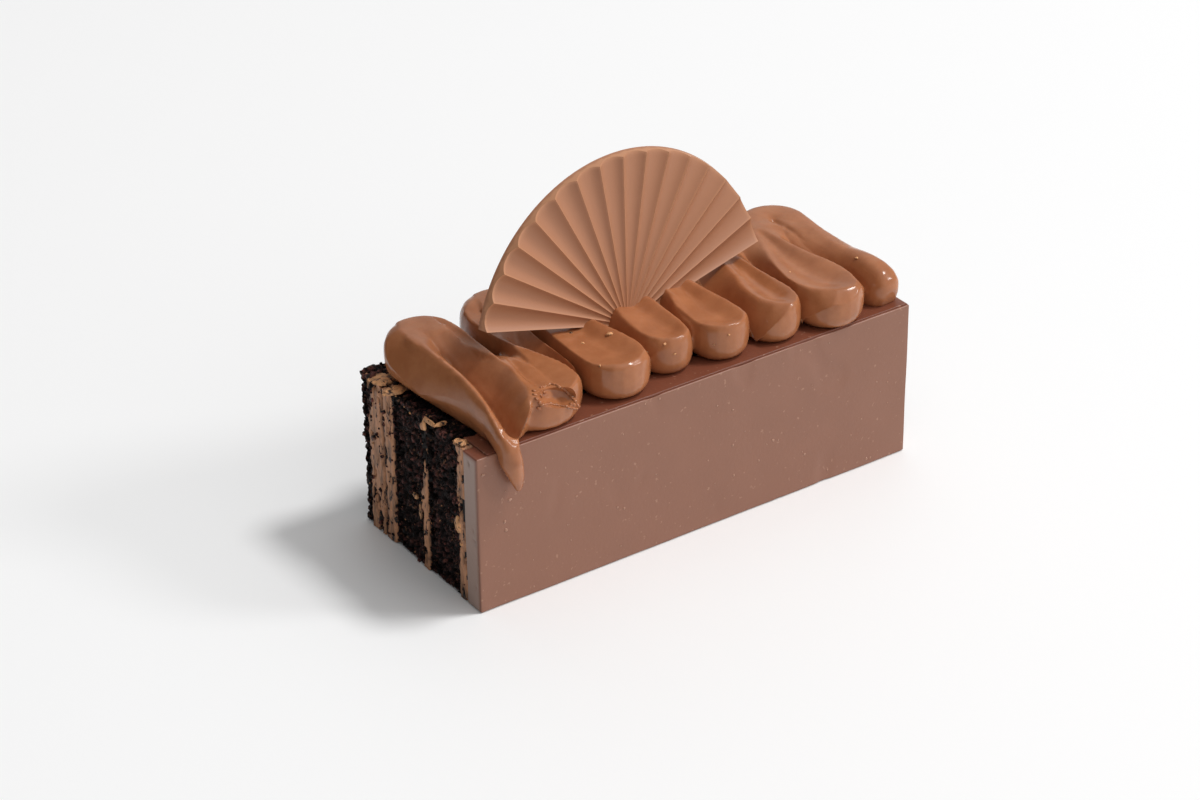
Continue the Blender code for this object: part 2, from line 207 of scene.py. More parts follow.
# The ridges of the tail strand, of the turns at the back and of the last strand
OPEN_RIDGES = (
    (
        (7.6, 43.0, 51.3), (7.8, 41.2, 51.4), (8.1, 34.9, 51.5), (7.7, 28.9, 51.5), (7.5, 24.0, 51.5),
        (7.5, 19.5, 51.3), (7.3, 15.3, 51.0), (7.0, 10.8, 50.4), (6.7, 6.7, 49.4),
        (5.8, 2.2, 48.0), (5.5, -0.5, 46.6), (5.3, -2.7, 45.2),
    ),
    (
        (7.6, 43.0, 51.3), (9.0, 44.6, 51.3), (12.0, 45.8, 51.3), (16.0, 45.4, 51.4), (18.9, 42.0, 51.5),
        (19.5, 38.5, 51.5), (19.7, 32.5, 51.5), (20.0, 28.8, 51.5), (19.9, 24.4, 51.4), (19.8, 21.4, 51.1),
    ),
    (
        (23.8, 25.5, 50.8), (23.4, 29.0, 50.9), (23.4, 34.0, 51.0), (23.8, 39.0, 51.0), (25.2, 43.0, 51.0),
        (29.0, 45.6, 51.0), (34.0, 46.0, 50.9), (50.0, 45.0, 50.7), (80.0, 45.0, 50.7), (95.0, 45.0, 50.7),
        (110.0, 45.0, 50.8), (115.0, 42.5, 50.9), (116.2, 38.0, 50.9), (115.9, 30.0, 50.8),
        (115.3, 22.0, 50.6), (116.0, 17.0, 50.8), (116.8, 12.0, 52.5), (117.3, 8.5, 53.0),
        (117.7, 6.0, 53.0), (118.2, 2.0, 52.0),
    ),
)
# The bottoms of the fingers' hollows
TROUGHS = (
    ((22.0, 21.5, 49.7), (21.2, 16.6, 49.3), (20.4, 11.0, 49.0), (21.0, 7.0, 48.8)),
    ((41.5, 31.0, 50.0), (42.2, 24.0, 49.0), (42.6, 19.0, 48.7), (43.0, 13.5, 48.5), (43.6, 9.0, 48.5)),
    ((58.0, 30.0, 50.3), (58.4, 24.0, 49.8), (58.9, 20.3, 49.2), (59.3, 13.5, 48.6), (59.7, 10.0, 48.6)),
    ((72.3, 29.0, 50.1), (72.3, 24.0, 49.5), (72.4, 20.0, 49.0), (71.9, 13.5, 48.5), (72.8, 8.5, 48.4)),
    ((89.2, 28.5, 50.1), (89.4, 22.0, 49.3), (89.0, 15.0, 48.6), (88.7, 9.0, 48.4)),
    ((103.5, 33.0, 50.1), (102.9, 27.0, 49.4), (101.9, 21.0, 48.8), (102.2, 14.0, 48.4), (103.2, 8.0, 48.3)),
)
# The bottoms of the creases between the strands, and low ground all round the rope
CREASES = (
    (
        (12.8, 38.6, 51.0), (11.8, 36.2, 50.0), (12.0, 34.0, 48.6), (12.2, 31.5, 47.3), (12.4, 28.0, 46.2),
        (12.6, 24.0, 45.2), (12.3, 18.0, 44.4), (11.6, 12.0, 43.4), (10.4, 6.0, 42.3), (9.6, 0.0, 41.0),
    ),
    ((21.8, 40.0, 45.0), (21.6, 33.0, 45.0), (21.6, 28.0, 46.5), (21.6, 25.6, 48.0)),
    (
        (33.5, 36.0, 50.2), (31.5, 32.0, 49.0), (29.5, 28.0, 47.0), (29.3, 24.0, 44.5), (30.6, 20.0, 43.6),
        (31.6, 15.0, 42.6), (31.9, 10.0, 41.6), (32.4, 5.0, 40.5), (32.8, 0.0, 41.5),
    ),
    (
        (50.8, 36.0, 50.2), (50.3, 31.0, 48.5), (49.8, 26.0, 46.5), (50.3, 20.0, 43.8), (50.8, 14.0, 42.6),
        (51.0, 9.0, 41.6), (51.6, 4.0, 40.5), (52.0, 0.0, 41.0),
    ),
    (
        (65.2, 36.0, 50.2), (65.4, 31.0, 48.5), (65.4, 26.0, 46.5), (64.9, 20.0, 43.8), (64.1, 14.0, 42.6),
        (63.9, 9.0, 41.6), (63.6, 5.0, 40.5), (63.4, 0.0, 41.0),
    ),
    (
        (79.7, 36.0, 50.2), (80.4, 31.0, 48.5), (80.6, 26.0, 46.5), (80.4, 20.0, 43.8), (80.4, 14.0, 42.6),
        (80.5, 9.0, 41.6), (80.6, 4.0, 40.5), (80.8, 0.0, 41.0),
    ),
    (
        (95.0, 36.0, 50.2), (96.0, 31.0, 48.5), (95.6, 26.0, 46.5), (94.6, 20.0, 43.8), (93.9, 14.0, 42.6),
        (93.8, 9.0, 41.6), (93.9, 4.0, 40.5), (94.0, 0.0, 41.0),
    ),
    (
        (110.6, 36.9, 50.4), (110.4, 34.3, 50.0), (108.8, 31.2, 49.0), (108.6, 28.0, 47.5),
        (109.6, 22.0, 46.0), (110.8, 15.0, 43.6), (111.4, 9.0, 42.4), (111.8, 4.0, 41.0), (112.5, 0.0, 41.0),
    ),
    ((0.8, 44.0, 43.0), (1.2, 36.0, 41.0), (2.2, 24.0, 39.5), (3.2, 14.0, 38.5), (3.6, 4.0, 38.5)),
    (
        (3.6, 4.0, 38.5), (4.0, -5.0, 38.5), (12.0, -5.0, 41.0), (128.0, -5.0, 41.0),
        (128.0, 64.0, 41.0), (0.0, 64.0, 41.0),
    ),
)

# The camera that took the photograph, worked out from the corners of the bar
CAMERA_PLACE = (-0.392459, -0.551148, 0.412672)
CAMERA_AZIMUTH = math.radians(34.6987)
CAMERA_ELEVATION = math.radians(29.9346)
CAMERA_ROLL = math.radians(-0.6158)
CAMERA_LENS = 100
CAMERA_SENSOR = 36

# Sockets of the colour Mix node, whose names repeat
MIX_FACTOR = 0
MIX_A = 6
MIX_B = 7
MIX_RESULT = 2


def linear(code):
    """Turn an sRGB hex colour into linear red, green and blue."""
    shares = [int(code[start : start + 2], 16) / 255 for start in (1, 3, 5)]
    return tuple(s / 12.92 if s <= 0.04045 else ((s + 0.055) / 1.055) ** 2.4 for s in shares)


def colour_property(name, description, code):
    """A colour that a user can change, given as sRGB hex."""
    return FloatVectorProperty(
        name=name, description=description, subtype="COLOR", size=3, min=0.0, max=1.0, default=linear(code)
    )


def length_property(name, description, millimetres):
    """A length that a user can change, given in millimetres."""
    return FloatProperty(
        name=name, description=description, default=millimetres * MM, min=0.0, precision=5, unit="LENGTH"
    )


def light_property(name, description, strength, unit="NONE"):
    """A strength of light that a user can change."""
    return FloatProperty(name=name, description=description, default=strength, min=0.0, unit=unit)


class CakeBarSettings(bpy.types.PropertyGroup):
    """Relief on the bar's faces."""

    crumb_depth: length_property("Crumb depth", "How deep the knife tears the sponge", 1.7)
    crumb_size: length_property("Crumb size", "Width of the sponge's larger lumps", 3.2)
    pore_size: length_property("Pore size", "Width of the sponge's pores", 1.1)
    smear_depth: length_property("Smear depth", "Depth of the drag marks in the cream", 0.35)
    slab_edge: length_property("Slab edge", "Radius of the ganache slab's edges", 0.45)
    border: length_property("Border", "How far crumb and cream cross their borders", 0.7)


class CakePipingSettings(bpy.types.PropertyGroup):
    """Shape of the piped rope."""

    voxel: length_property("Mesh size", "Width of one cell of the fused surface", 0.5)
    crest_radius: length_property("Crest radius", "Rounding of the fingers' crisp edges", 0.6)
    soft_radius: length_property("Soft radius", "Extra rounding at the back and on the last strand", 2.2)


class CakeFanSettings(bpy.types.PropertyGroup):
    """Shape of the moulded fan."""

    radius: length_property("Radius", "Radius of the fan's back", 41.7)
    thickness: length_property("Thickness", "Thickness of the fan at a ridge", 2.5)
    draft: length_property("Draft", "How much narrower the front is than the back", 0.6)


class CakeFinishSettings(bpy.types.PropertyGroup):
    """Colours of the finishes."""

    piping: colour_property("Piping", "Piped ganache", "#9E623E")
    piping_light: colour_property("Piping, light", "Where butterfat shows in the piped ganache", "#AC6E48")
    slab: colour_property("Slab", "Set ganache of the slab", "#90634F")
    slab_light: colour_property("Slab, light", "Specks and streaks in the slab", "#A97E68")
    # Painted reflection: the cool grey painted onto the slab's cut ends
    slab_cut_painted_reflection: colour_property("Slab, cut", "The slab's cut ends", "#A0867A")
    film: colour_property("Film", "Thin ganache on top of the bar", "#7A4633")
    # This colour also paints highlights, as bright flecks on the piping
    fleck: colour_property("Fleck", "Cream where it was smeared bright", "#E8AA74")
    fan: colour_property("Fan", "Moulded milk chocolate", "#A87354")
    # Painted highlight: the paler colour on the fan's ridges and rim
    fan_painted_highlight: colour_property("Fan edges", "Rubbed edges of the fan", "#BC8562")
    cream: colour_property("Cream", "Chocolate cream of the bands", "#C38B66")
    cream_dark: colour_property("Cream, dark", "Cream mixed with crumbs", "#7C5A42")
    sponge: colour_property("Sponge", "Dark cocoa crumb", "#110909")
    # Painted light: the red-brown that the sponge material puts on crumbs that stand out
    sponge_painted_light: colour_property("Sponge, light", "Dry crumbs on the sponge", "#8A534A")


class CakeStageSettings(bpy.types.PropertyGroup):
    """Floor and light."""

    floor: colour_property("Floor", "Plain pale floor", "#F8F8F8")
    back_sky: light_property("Back", "Light from the back on the right", 0.56)
    top_sky: light_property("Top", "Light from straight above", 0.54)
    front_sky: light_property("Front", "Light from the front", 0.89)
    high_key: light_property("High key", "Main lamp", 43.0, "POWER")
    low_key: light_property("Low key", "Lower lamp", 19.5, "POWER")


def set_inputs(tree, node, inputs):
    """Fill or link a node's inputs."""
    for socket, value in inputs.items():
        if isinstance(value, bpy.types.NodeSocket):
            tree.links.new(value, node.inputs[socket])
        else:
            node.inputs[socket].default_value = value


def add_node(tree, kind, inputs=None, **settings):
    """Add a node with its settings, and fill or link its inputs."""
    node = tree.nodes.new(kind)
    for name, value in settings.items():
        setattr(node, name, value)
    set_inputs(tree, node, inputs or {})
    return node


def new_material(name):
    """A material with its node tree, its shader and the place that patterns are read from."""
    material = bpy.data.materials.new(name)
    material.use_nodes = True
    tree = material.node_tree
    where = add_node(tree, "ShaderNodeTexCoord").outputs["Object"]
    return material, tree, tree.nodes["Principled BSDF"], where


def add_piece(name, bm, material, replaced=()):
    """Turn a bmesh into a finished piece that rides on the cake and stands for CAD nodes."""
    mesh = bpy.data.meshes.new(name)
    bm.to_mesh(mesh)
    bm.free()
    mesh.materials.append(material)
    mesh.shade_smooth()
    piece = bpy.data.objects.new(name, mesh)
    bpy.context.scene.collection.objects.link(piece)
    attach(piece, BODY)
    if replaced:
        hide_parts(*replaced)
    return piece


def on_bar(from_left, from_front, height):
    """A point given from the bar's left end, front face and underside, in the cake's own frame."""
    return Vector((from_left - LENGTH / 2, from_front - DEPTH / 2, height))


def smooth_step(value, low, high):
    """Rise smoothly from 0 at low to 1 at high."""
    share = np.clip((value - low) / (high - low), 0.0, 1.0)
    return share * share * (3 - 2 * share)


def smooth_min(first, second, width):
    """The lower of two heights, with a rounded change between them."""
    share = np.clip(0.5 + 0.5 * (second - first) / width, 0.0, 1.0)
    return second + (first - second) * share - width * share * (1 - share)


def vertex_places(mesh):
    """The places of a mesh's vertices as an array."""
    places = np.empty(len(mesh.vertices) * 3)
    mesh.vertices.foreach_get("co", places)
    return places.reshape(-1, 3)


def set_vertex_places(mesh, places):
    """Move a mesh's vertices."""
    mesh.vertices.foreach_set("co", places.ravel())
    mesh.update()


def bmesh_places(bm):
    """The places of a bmesh's vertices as an array."""
    return np.array([vert.co[:] for vert in bm.verts])


def seed_offset(seed):
    """Where in the noise a pattern with this seed starts."""
    return Vector((seed, 1.7 * seed, -0.9 * seed))


def noise_at(places, size, seed=0.0, octaves=1):
    """Smooth noise from -1 to 1 at each place, with lumps of one size, and finer ones on top."""
    offset = seed_offset(seed)
    values = np.empty(len(places))
    for number, place in enumerate(places):
        sample = Vector(place) / size + offset
        if octaves == 1:
            values[number] = noise.noise(sample)
        else:
            values[number] = noise.fractal(sample, 1.0, 2.1, octaves)
    return values


def stations(length, cell, edge, edge_count=3):
    """Grid places along one side, from 0 to its length, closer together by the edges."""
    rim = np.linspace(0.0, edge, edge_count + 1)
    count = max(2, round((length - 2 * edge) / cell))
    middle = np.linspace(edge, length - edge, count + 1)[1:-1]
    return np.concatenate((rim, middle, length - rim[::-1]))


def layer_block(low, places):
    """A block from its low corner up, whose faces are divided at the given places along each axis."""
    bm = bmesh.new()
    bmesh.ops.create_cube(bm, size=1.0)
    bmesh.ops.translate(bm, vec=(0.5, 0.5, 0.5), verts=bm.verts)
    for axis in range(3):
        edges = [e for e in bm.edges if abs((e.verts[0].co - e.verts[1].co)[axis]) > 0.5]
        bmesh.ops.subdivide_edges(bm, edges=edges, cuts=len(places[axis]) - 2, use_grid_fill=True)
    for axis in range(3):
        even = np.linspace(0.0, 1.0, len(places[axis]))
        for vert in bm.verts:
            vert.co[axis] = low[axis] + np.interp(vert.co[axis], even, places[axis])
    bm.normal_update()
    return bm


def layer_places(low, high, cell, end_cell=0.45 * MM, side_cell=1.6 * MM):
    """Where a layer's grid lines run: fine across its cut ends, coarser along the bar."""
    end_reach, edge = 3.0 * MM, 0.5 * MM
    size = high - low
    along = stations(size.x, side_cell, end_reach, 8)
    across = stations(size.y, cell, edge, 2)
    upward = stations(size.z, end_cell, edge, 2)
    return along, across, upward


def surfaces_of(context, names):
    """The surfaces of some finished pieces, to cast lines onto."""
    graph = context.evaluated_depsgraph_get()
    return [BVHTree.FromObject(bpy.data.objects[name], graph) for name in names]


def between_cells(places, size, seed):
    """How far each place lies from the middle of its crumb: 0 in the middle and 1 between two crumbs."""
    offset = seed_offset(seed)
    values = np.empty(len(places))
    for number, place in enumerate(places):
        first, second = noise.voronoi(Vector(place) / size + offset)[0][:2]
        values[number] = first / second
    return values


def crumb_height(places, bar, seed):
    """How far torn crumb lies below the cut at each place, always 0 or more."""
    waves = 0.5 + 0.5 * noise_at(places, 2.2 * bar.crumb_size, seed)
    lumps = 0.5 + 0.5 * noise_at(places, bar.crumb_size, seed + 3.1, 3)
    pores = smooth_step(noise_at(places, 1.5 * bar.pore_size, seed + 7.7, 2), 0.1, 0.45)
    gaps = smooth_step(between_cells(places, 1.3 * bar.pore_size, seed + 11.3), 0.5, 1.0)
    wave_share, lump_share, pore_share, gap_share = 0.4, 0.35, 0.8, 0.5
    height = wave_share * waves + lump_share * lumps + pore_share * pores + gap_share * gaps
    return bar.crumb_depth * height


def push_in(bm, depths, full=None):
    """Move each vertex of a bmesh inwards along its own normal, and keep how deep it went as a share."""
    if full:
        deep = bm.verts.layers.float.new("deep")
        for vert, depth in zip(bm.verts, depths):
            vert[deep] = depth / full
    bm.normal_update()
    moves = [vert.normal * depth for vert, depth in zip(bm.verts, depths)]
    for vert, move in zip(bm.verts, moves):
        vert.co -= move


def make_sponge_material(finish):
    """Dark cocoa sponge, baked and cut, a little moist: painted shade keeps it near-black in its pores,
    painted light turns the crumbs that stand out red-brown in patches, and it has flecks of cream that the
    knife dragged across."""
    material, tree, shader, where = new_material("baked_cocoa_sponge")
    deep = add_node(tree, "ShaderNodeAttribute", attribute_name="deep", attribute_type="GEOMETRY")
    # Painted light and shade: the less deep a place lies, the more painted red-brown light it gets, and the
    # pores stay near-black as painted shade
    painted_light_on_standing = add_node(
        tree, "ShaderNodeMapRange", {"Value": deep.outputs["Fac"], "From Min": 0.6, "From Max": 0.1}
    )
    masks = []
    # Patches of painted light on the crumbs, patches where cream was dragged, and the flecks in a patch: the
    # width of a spot, the pattern's detail and roughness, and the values between which the spots fade in
    for width, detail, roughness, low, high in (
        (1.6 * MM, 5.0, 0.75, 0.46, 0.64),
        (5.0 * MM, 4.0, 0.6, 0.5, 0.62),
        (0.8 * MM, 3.0, 0.6, 0.57, 0.62),
    ):
        spots = add_node(
            tree,
            "ShaderNodeTexNoise",
            {"Vector": where, "Scale": 1 / width, "Detail": detail, "Roughness": roughness},
        )
        mask = add_node(
            tree, "ShaderNodeMapRange", {"Value": spots.outputs["Fac"], "From Min": low, "From Max": high}
        )
        masks.append(mask.outputs[0])
    painted_light_patches, patch, fleck = masks
    colour = (*finish.sponge, 1.0)
    for first, second, over in (
        (painted_light_on_standing.outputs[0], painted_light_patches, finish.sponge_painted_light),
        (patch, fleck, finish.cream_dark),
    ):
        both = add_node(tree, "ShaderNodeMath", {0: first, 1: second}, operation="MULTIPLY")
        mixed = add_node(
            tree,
            "ShaderNodeMix",
            {MIX_FACTOR: both.outputs[0], MIX_A: colour, MIX_B: (*over, 1.0)},
            data_type="RGBA",
        )
        colour = mixed.outputs[MIX_RESULT]
    grain = add_node(
        tree,
        "ShaderNodeTexNoise",
        {"Vector": where, "Scale": 1 / (0.45 * MM), "Detail": 4.0, "Roughness": 0.7},
    )
    grit = add_node(
        tree, "ShaderNodeBump", {"Height": grain.outputs["Fac"], "Strength": 1.0, "Distance": 0.6 * MM}
    )
    set_inputs(
        tree,
        shader,
        {
            "Base Color": colour,
            "Roughness": 0.55,
            "IOR": 1.45,
            "Specular IOR Level": 0.25,
            "Normal": grit.outputs[0],
        },
    )
    return material


def make_cream_material(name, colour, finish):
    """Whipped chocolate cream, chilled and cut: pale brown and matte, dragged into upright streaks by the
    knife, with dark crumbs caught in it, and with painted near-black shade wherever it is pushed in deep: its
    pits, the crack, the torn borders and the worn patches."""
    material, tree, shader, where = new_material(name)
    deep = add_node(tree, "ShaderNodeAttribute", attribute_name="deep", attribute_type="GEOMETRY")
    drag = add_node(tree, "ShaderNodeMapping", {"Vector": where, "Scale": (1.0, 1.0, 0.25)})
    streaks = add_node(
        tree,
        "ShaderNodeTexNoise",
        {"Vector": drag.outputs[0], "Scale": 1 / (1.3 * MM), "Detail": 4.0, "Roughness": 0.6},
    )
    streak = add_node(
        tree, "ShaderNodeMapRange", {"Value": streaks.outputs["Fac"], "From Min": 0.56, "From Max": 0.34}
    )
    # Painted shade: the deeper a place is pushed in, the nearer it goes to the sponge's near-black
    painted_hollow_shade = add_node(
        tree, "ShaderNodeMapRange", {"Value": deep.outputs["Fac"], "From Min": 0.4, "From Max": 0.7}
    )
    slant = add_node(tree, "ShaderNodeMapping", {"Vector": where, "Scale": (1.0, 1.0, 0.45)})
    caught = add_node(
        tree,
        "ShaderNodeTexNoise",
        {"Vector": slant.outputs[0], "Scale": 1 / (1.9 * MM), "Detail": 5.0, "Roughness": 0.7},
    )
    crumbs = add_node(
        tree, "ShaderNodeMapRange", {"Value": caught.outputs["Fac"], "From Min": 0.56, "From Max": 0.61}
    )
    shade = (*colour, 1.0)
    for mask, over in ((streak, finish.cream_dark), (painted_hollow_shade, finish.sponge), (crumbs, finish.sponge)):
        mixed = add_node(
            tree,
            "ShaderNodeMix",
            {MIX_FACTOR: mask.outputs[0], MIX_A: shade, MIX_B: (*over, 1.0)},
            data_type="RGBA",
        )
        shade = mixed.outputs[MIX_RESULT]
    marks = add_node(
        tree, "ShaderNodeBump", {"Height": streaks.outputs["Fac"], "Strength": 0.8, "Distance": 0.3 * MM}
    )
    set_inputs(
        tree, shader, {"Base Color": shade, "Roughness": 0.55, "IOR": 1.45, "Normal": marks.outputs[0]}
    )
    return material


def make_slab_material(name, colour, finish):
    """Poured ganache, set cold: a smooth red-brown skin with a soft shine, faint clouds and pale specks of
    fat, darker and redder along its rim, and greyer on its cut ends, where a cool reflection is painted into
    the colour."""
    material, tree, shader, where = new_material(name)
    # The cut mask paints a grey reflection onto the slab's cut ends
    cut = add_node(tree, "ShaderNodeAttribute", attribute_name="cut", attribute_type="GEOMETRY")
    rim = add_node(tree, "ShaderNodeAttribute", attribute_name="rim", attribute_type="GEOMETRY")
    clouds = add_node(
        tree,
        "ShaderNodeTexNoise",
        {"Vector": where, "Scale": 1 / (9.0 * MM), "Detail": 3.0, "Roughness": 0.5},
    )
    specks = add_node(
        tree,
        "ShaderNodeTexNoise",
        {"Vector": where, "Scale": 1 / (1.2 * MM), "Detail": 2.0, "Roughness": 0.5},
    )
    speck = add_node(
        tree,
        "ShaderNodeMapRange",
        {"Value": specks.outputs["Fac"], "From Min": 0.68, "From Max": 0.74, "To Max": 0.7},
    )
    dull = tuple(0.9 * value for value in colour)
    shade = (*colour, 1.0)
    for mask, over in (
        (clouds.outputs["Fac"], dull),
        (speck.outputs[0], finish.slab_light),
        (rim.outputs["Fac"], finish.film),
        (cut.outputs["Fac"], finish.slab_cut_painted_reflection),
    ):
        mixed = add_node(
            tree,
            "ShaderNodeMix",
            {MIX_FACTOR: mask, MIX_A: shade, MIX_B: (*over, 1.0)},
            data_type="RGBA",
        )
        shade = mixed.outputs[MIX_RESULT]
    grain = add_node(
        tree,
        "ShaderNodeTexNoise",
        {"Vector": where, "Scale": 1 / (0.9 * MM), "Detail": 3.0, "Roughness": 0.6},
    )
    skin = add_node(
        tree, "ShaderNodeBump", {"Height": grain.outputs["Fac"], "Strength": 0.4, "Distance": 0.12 * MM}
    )
    set_inputs(
        tree, shader, {"Base Color": shade, "Roughness": 0.34, "IOR": 1.45, "Normal": skin.outputs[0]}
    )
    return material


def cast_onto(surfaces, start, direction):
    """Where a straight line first meets any of some surfaces."""
    hits = [surface.ray_cast(start, direction) for surface in surfaces]
    found = [(hit[3], hit[0]) for hit in hits if hit[0] is not None]
    return min(found)[1] if found else None


def scatter_lumps(lumps, draw, subdivisions=2, roughness=0.35):
    """A mesh of uneven lumps, each given by its middle and its reach along each axis. Fine-meshed lumps
    keep their bearing, and the others are turned by chance."""
    bm = bmesh.new()
    bmesh.ops.create_icosphere(bm, subdivisions=subdivisions, radius=1.0)
    counts = len(bm.verts), len(bm.edges), len(bm.faces)
    shape = [vert.co.copy() for vert in bm.verts]
    made = 1
    while made < len(lumps):
        more = min(made, len(lumps) - made)
        parts = (bm.verts, bm.edges, bm.faces)
        geom = [part for group, count in zip(parts, counts) for part in group[: more * count]]
        bmesh.ops.duplicate(bm, geom=geom)
        made += more
    bm.verts.ensure_lookup_table()
    for number, (place, reach) in enumerate(lumps):
        spin = draw.uniform(0.0, math.tau) if subdivisions == 2 else 0.0
        turn = Matrix.Rotation(spin, 3, Vector((draw.random(), draw.random(), 1.0)))
        seed = Vector([draw.uniform(0.0, 90.0) for _ in range(3)])
        stretch = Vector([draw.uniform(0.75, 1.2) for _ in range(3)])
        for corner, base in enumerate(shape):
            ripple = 1 + roughness * noise.fractal(1.3 * base + seed, 1.0, 2.0, 3)
            bm.verts[number * counts[0] + corner].co = place + (turn @ (base * stretch)) * reach * ripple
    return bm


def make_piping_material(finish):
    """Ganache of milk chocolate and cream, piped soft: glossy, a little translucent, with faint
    paler veins and a slightly uneven skin."""
    material, tree, shader, where = new_material("piped_milk_ganache")
    veins = add_node(
        tree,
        "ShaderNodeTexNoise",
        {"Vector": where, "Scale": 1 / (5.0 * MM), "Detail": 4.0, "Roughness": 0.55},
    )
    share = add_node(
        tree, "ShaderNodeMapRange", {"Value": veins.outputs["Fac"], "From Min": 0.35, "From Max": 0.65}
    )
    colour = add_node(
        tree,
        "ShaderNodeMix",
        {MIX_FACTOR: share.outputs[0], MIX_A: (*finish.piping, 1.0), MIX_B: (*finish.piping_light, 1.0)},
        data_type="RGBA",
    )
    skin = add_node(
        tree,
        "ShaderNodeTexNoise",
        {"Vector": where, "Scale": 1 / (0.8 * MM), "Detail": 3.0, "Roughness": 0.6},
    )
    bump = add_node(
        tree, "ShaderNodeBump", {"Height": skin.outputs["Fac"], "Strength": 0.4, "Distance": 0.08 * MM}
    )
    set_inputs(
        tree,
        shader,
        {
            "Base Color": colour.outputs[MIX_RESULT],
            "Roughness": 0.2,
            "IOR": 1.46,
            "Subsurface Weight": 0.1,
            "Subsurface Radius": (1.0, 0.45, 0.25),
            "Subsurface Scale": 1.2 * MM,
            "Normal": bump.outputs[0],
        },
    )
    return material


def make_fan_material(finish):
    """Milk chocolate, cast in a mould: satin, even in colour, with a paler painted highlight along its ridges
    and the front of its rim.
    """
    material, tree, shader, where = new_material("moulded_milk_chocolate")
    # The edge attribute marks where the painted highlight goes
    edge = add_node(tree, "ShaderNodeAttribute", attribute_name="edge", attribute_type="GEOMETRY")
    colour = add_node(
        tree,
        "ShaderNodeMix",
        {MIX_FACTOR: edge.outputs["Fac"], MIX_A: (*finish.fan, 1.0), MIX_B: (*finish.fan_painted_highlight, 1.0)},
        data_type="RGBA",
    )
    grain = add_node(
        tree,
        "ShaderNodeTexNoise",
        {"Vector": where, "Scale": 1 / (0.5 * MM), "Detail": 3.0, "Roughness": 0.6},
    )
    bump = add_node(
        tree, "ShaderNodeBump", {"Height": grain.outputs["Fac"], "Strength": 0.3, "Distance": 0.06 * MM}
    )
    set_inputs(
        tree,
        shader,
        {"Base Color": colour.outputs[MIX_RESULT], "Roughness": 0.46, "IOR": 1.45, "Normal": bump.outputs[0]},
    )
    return material


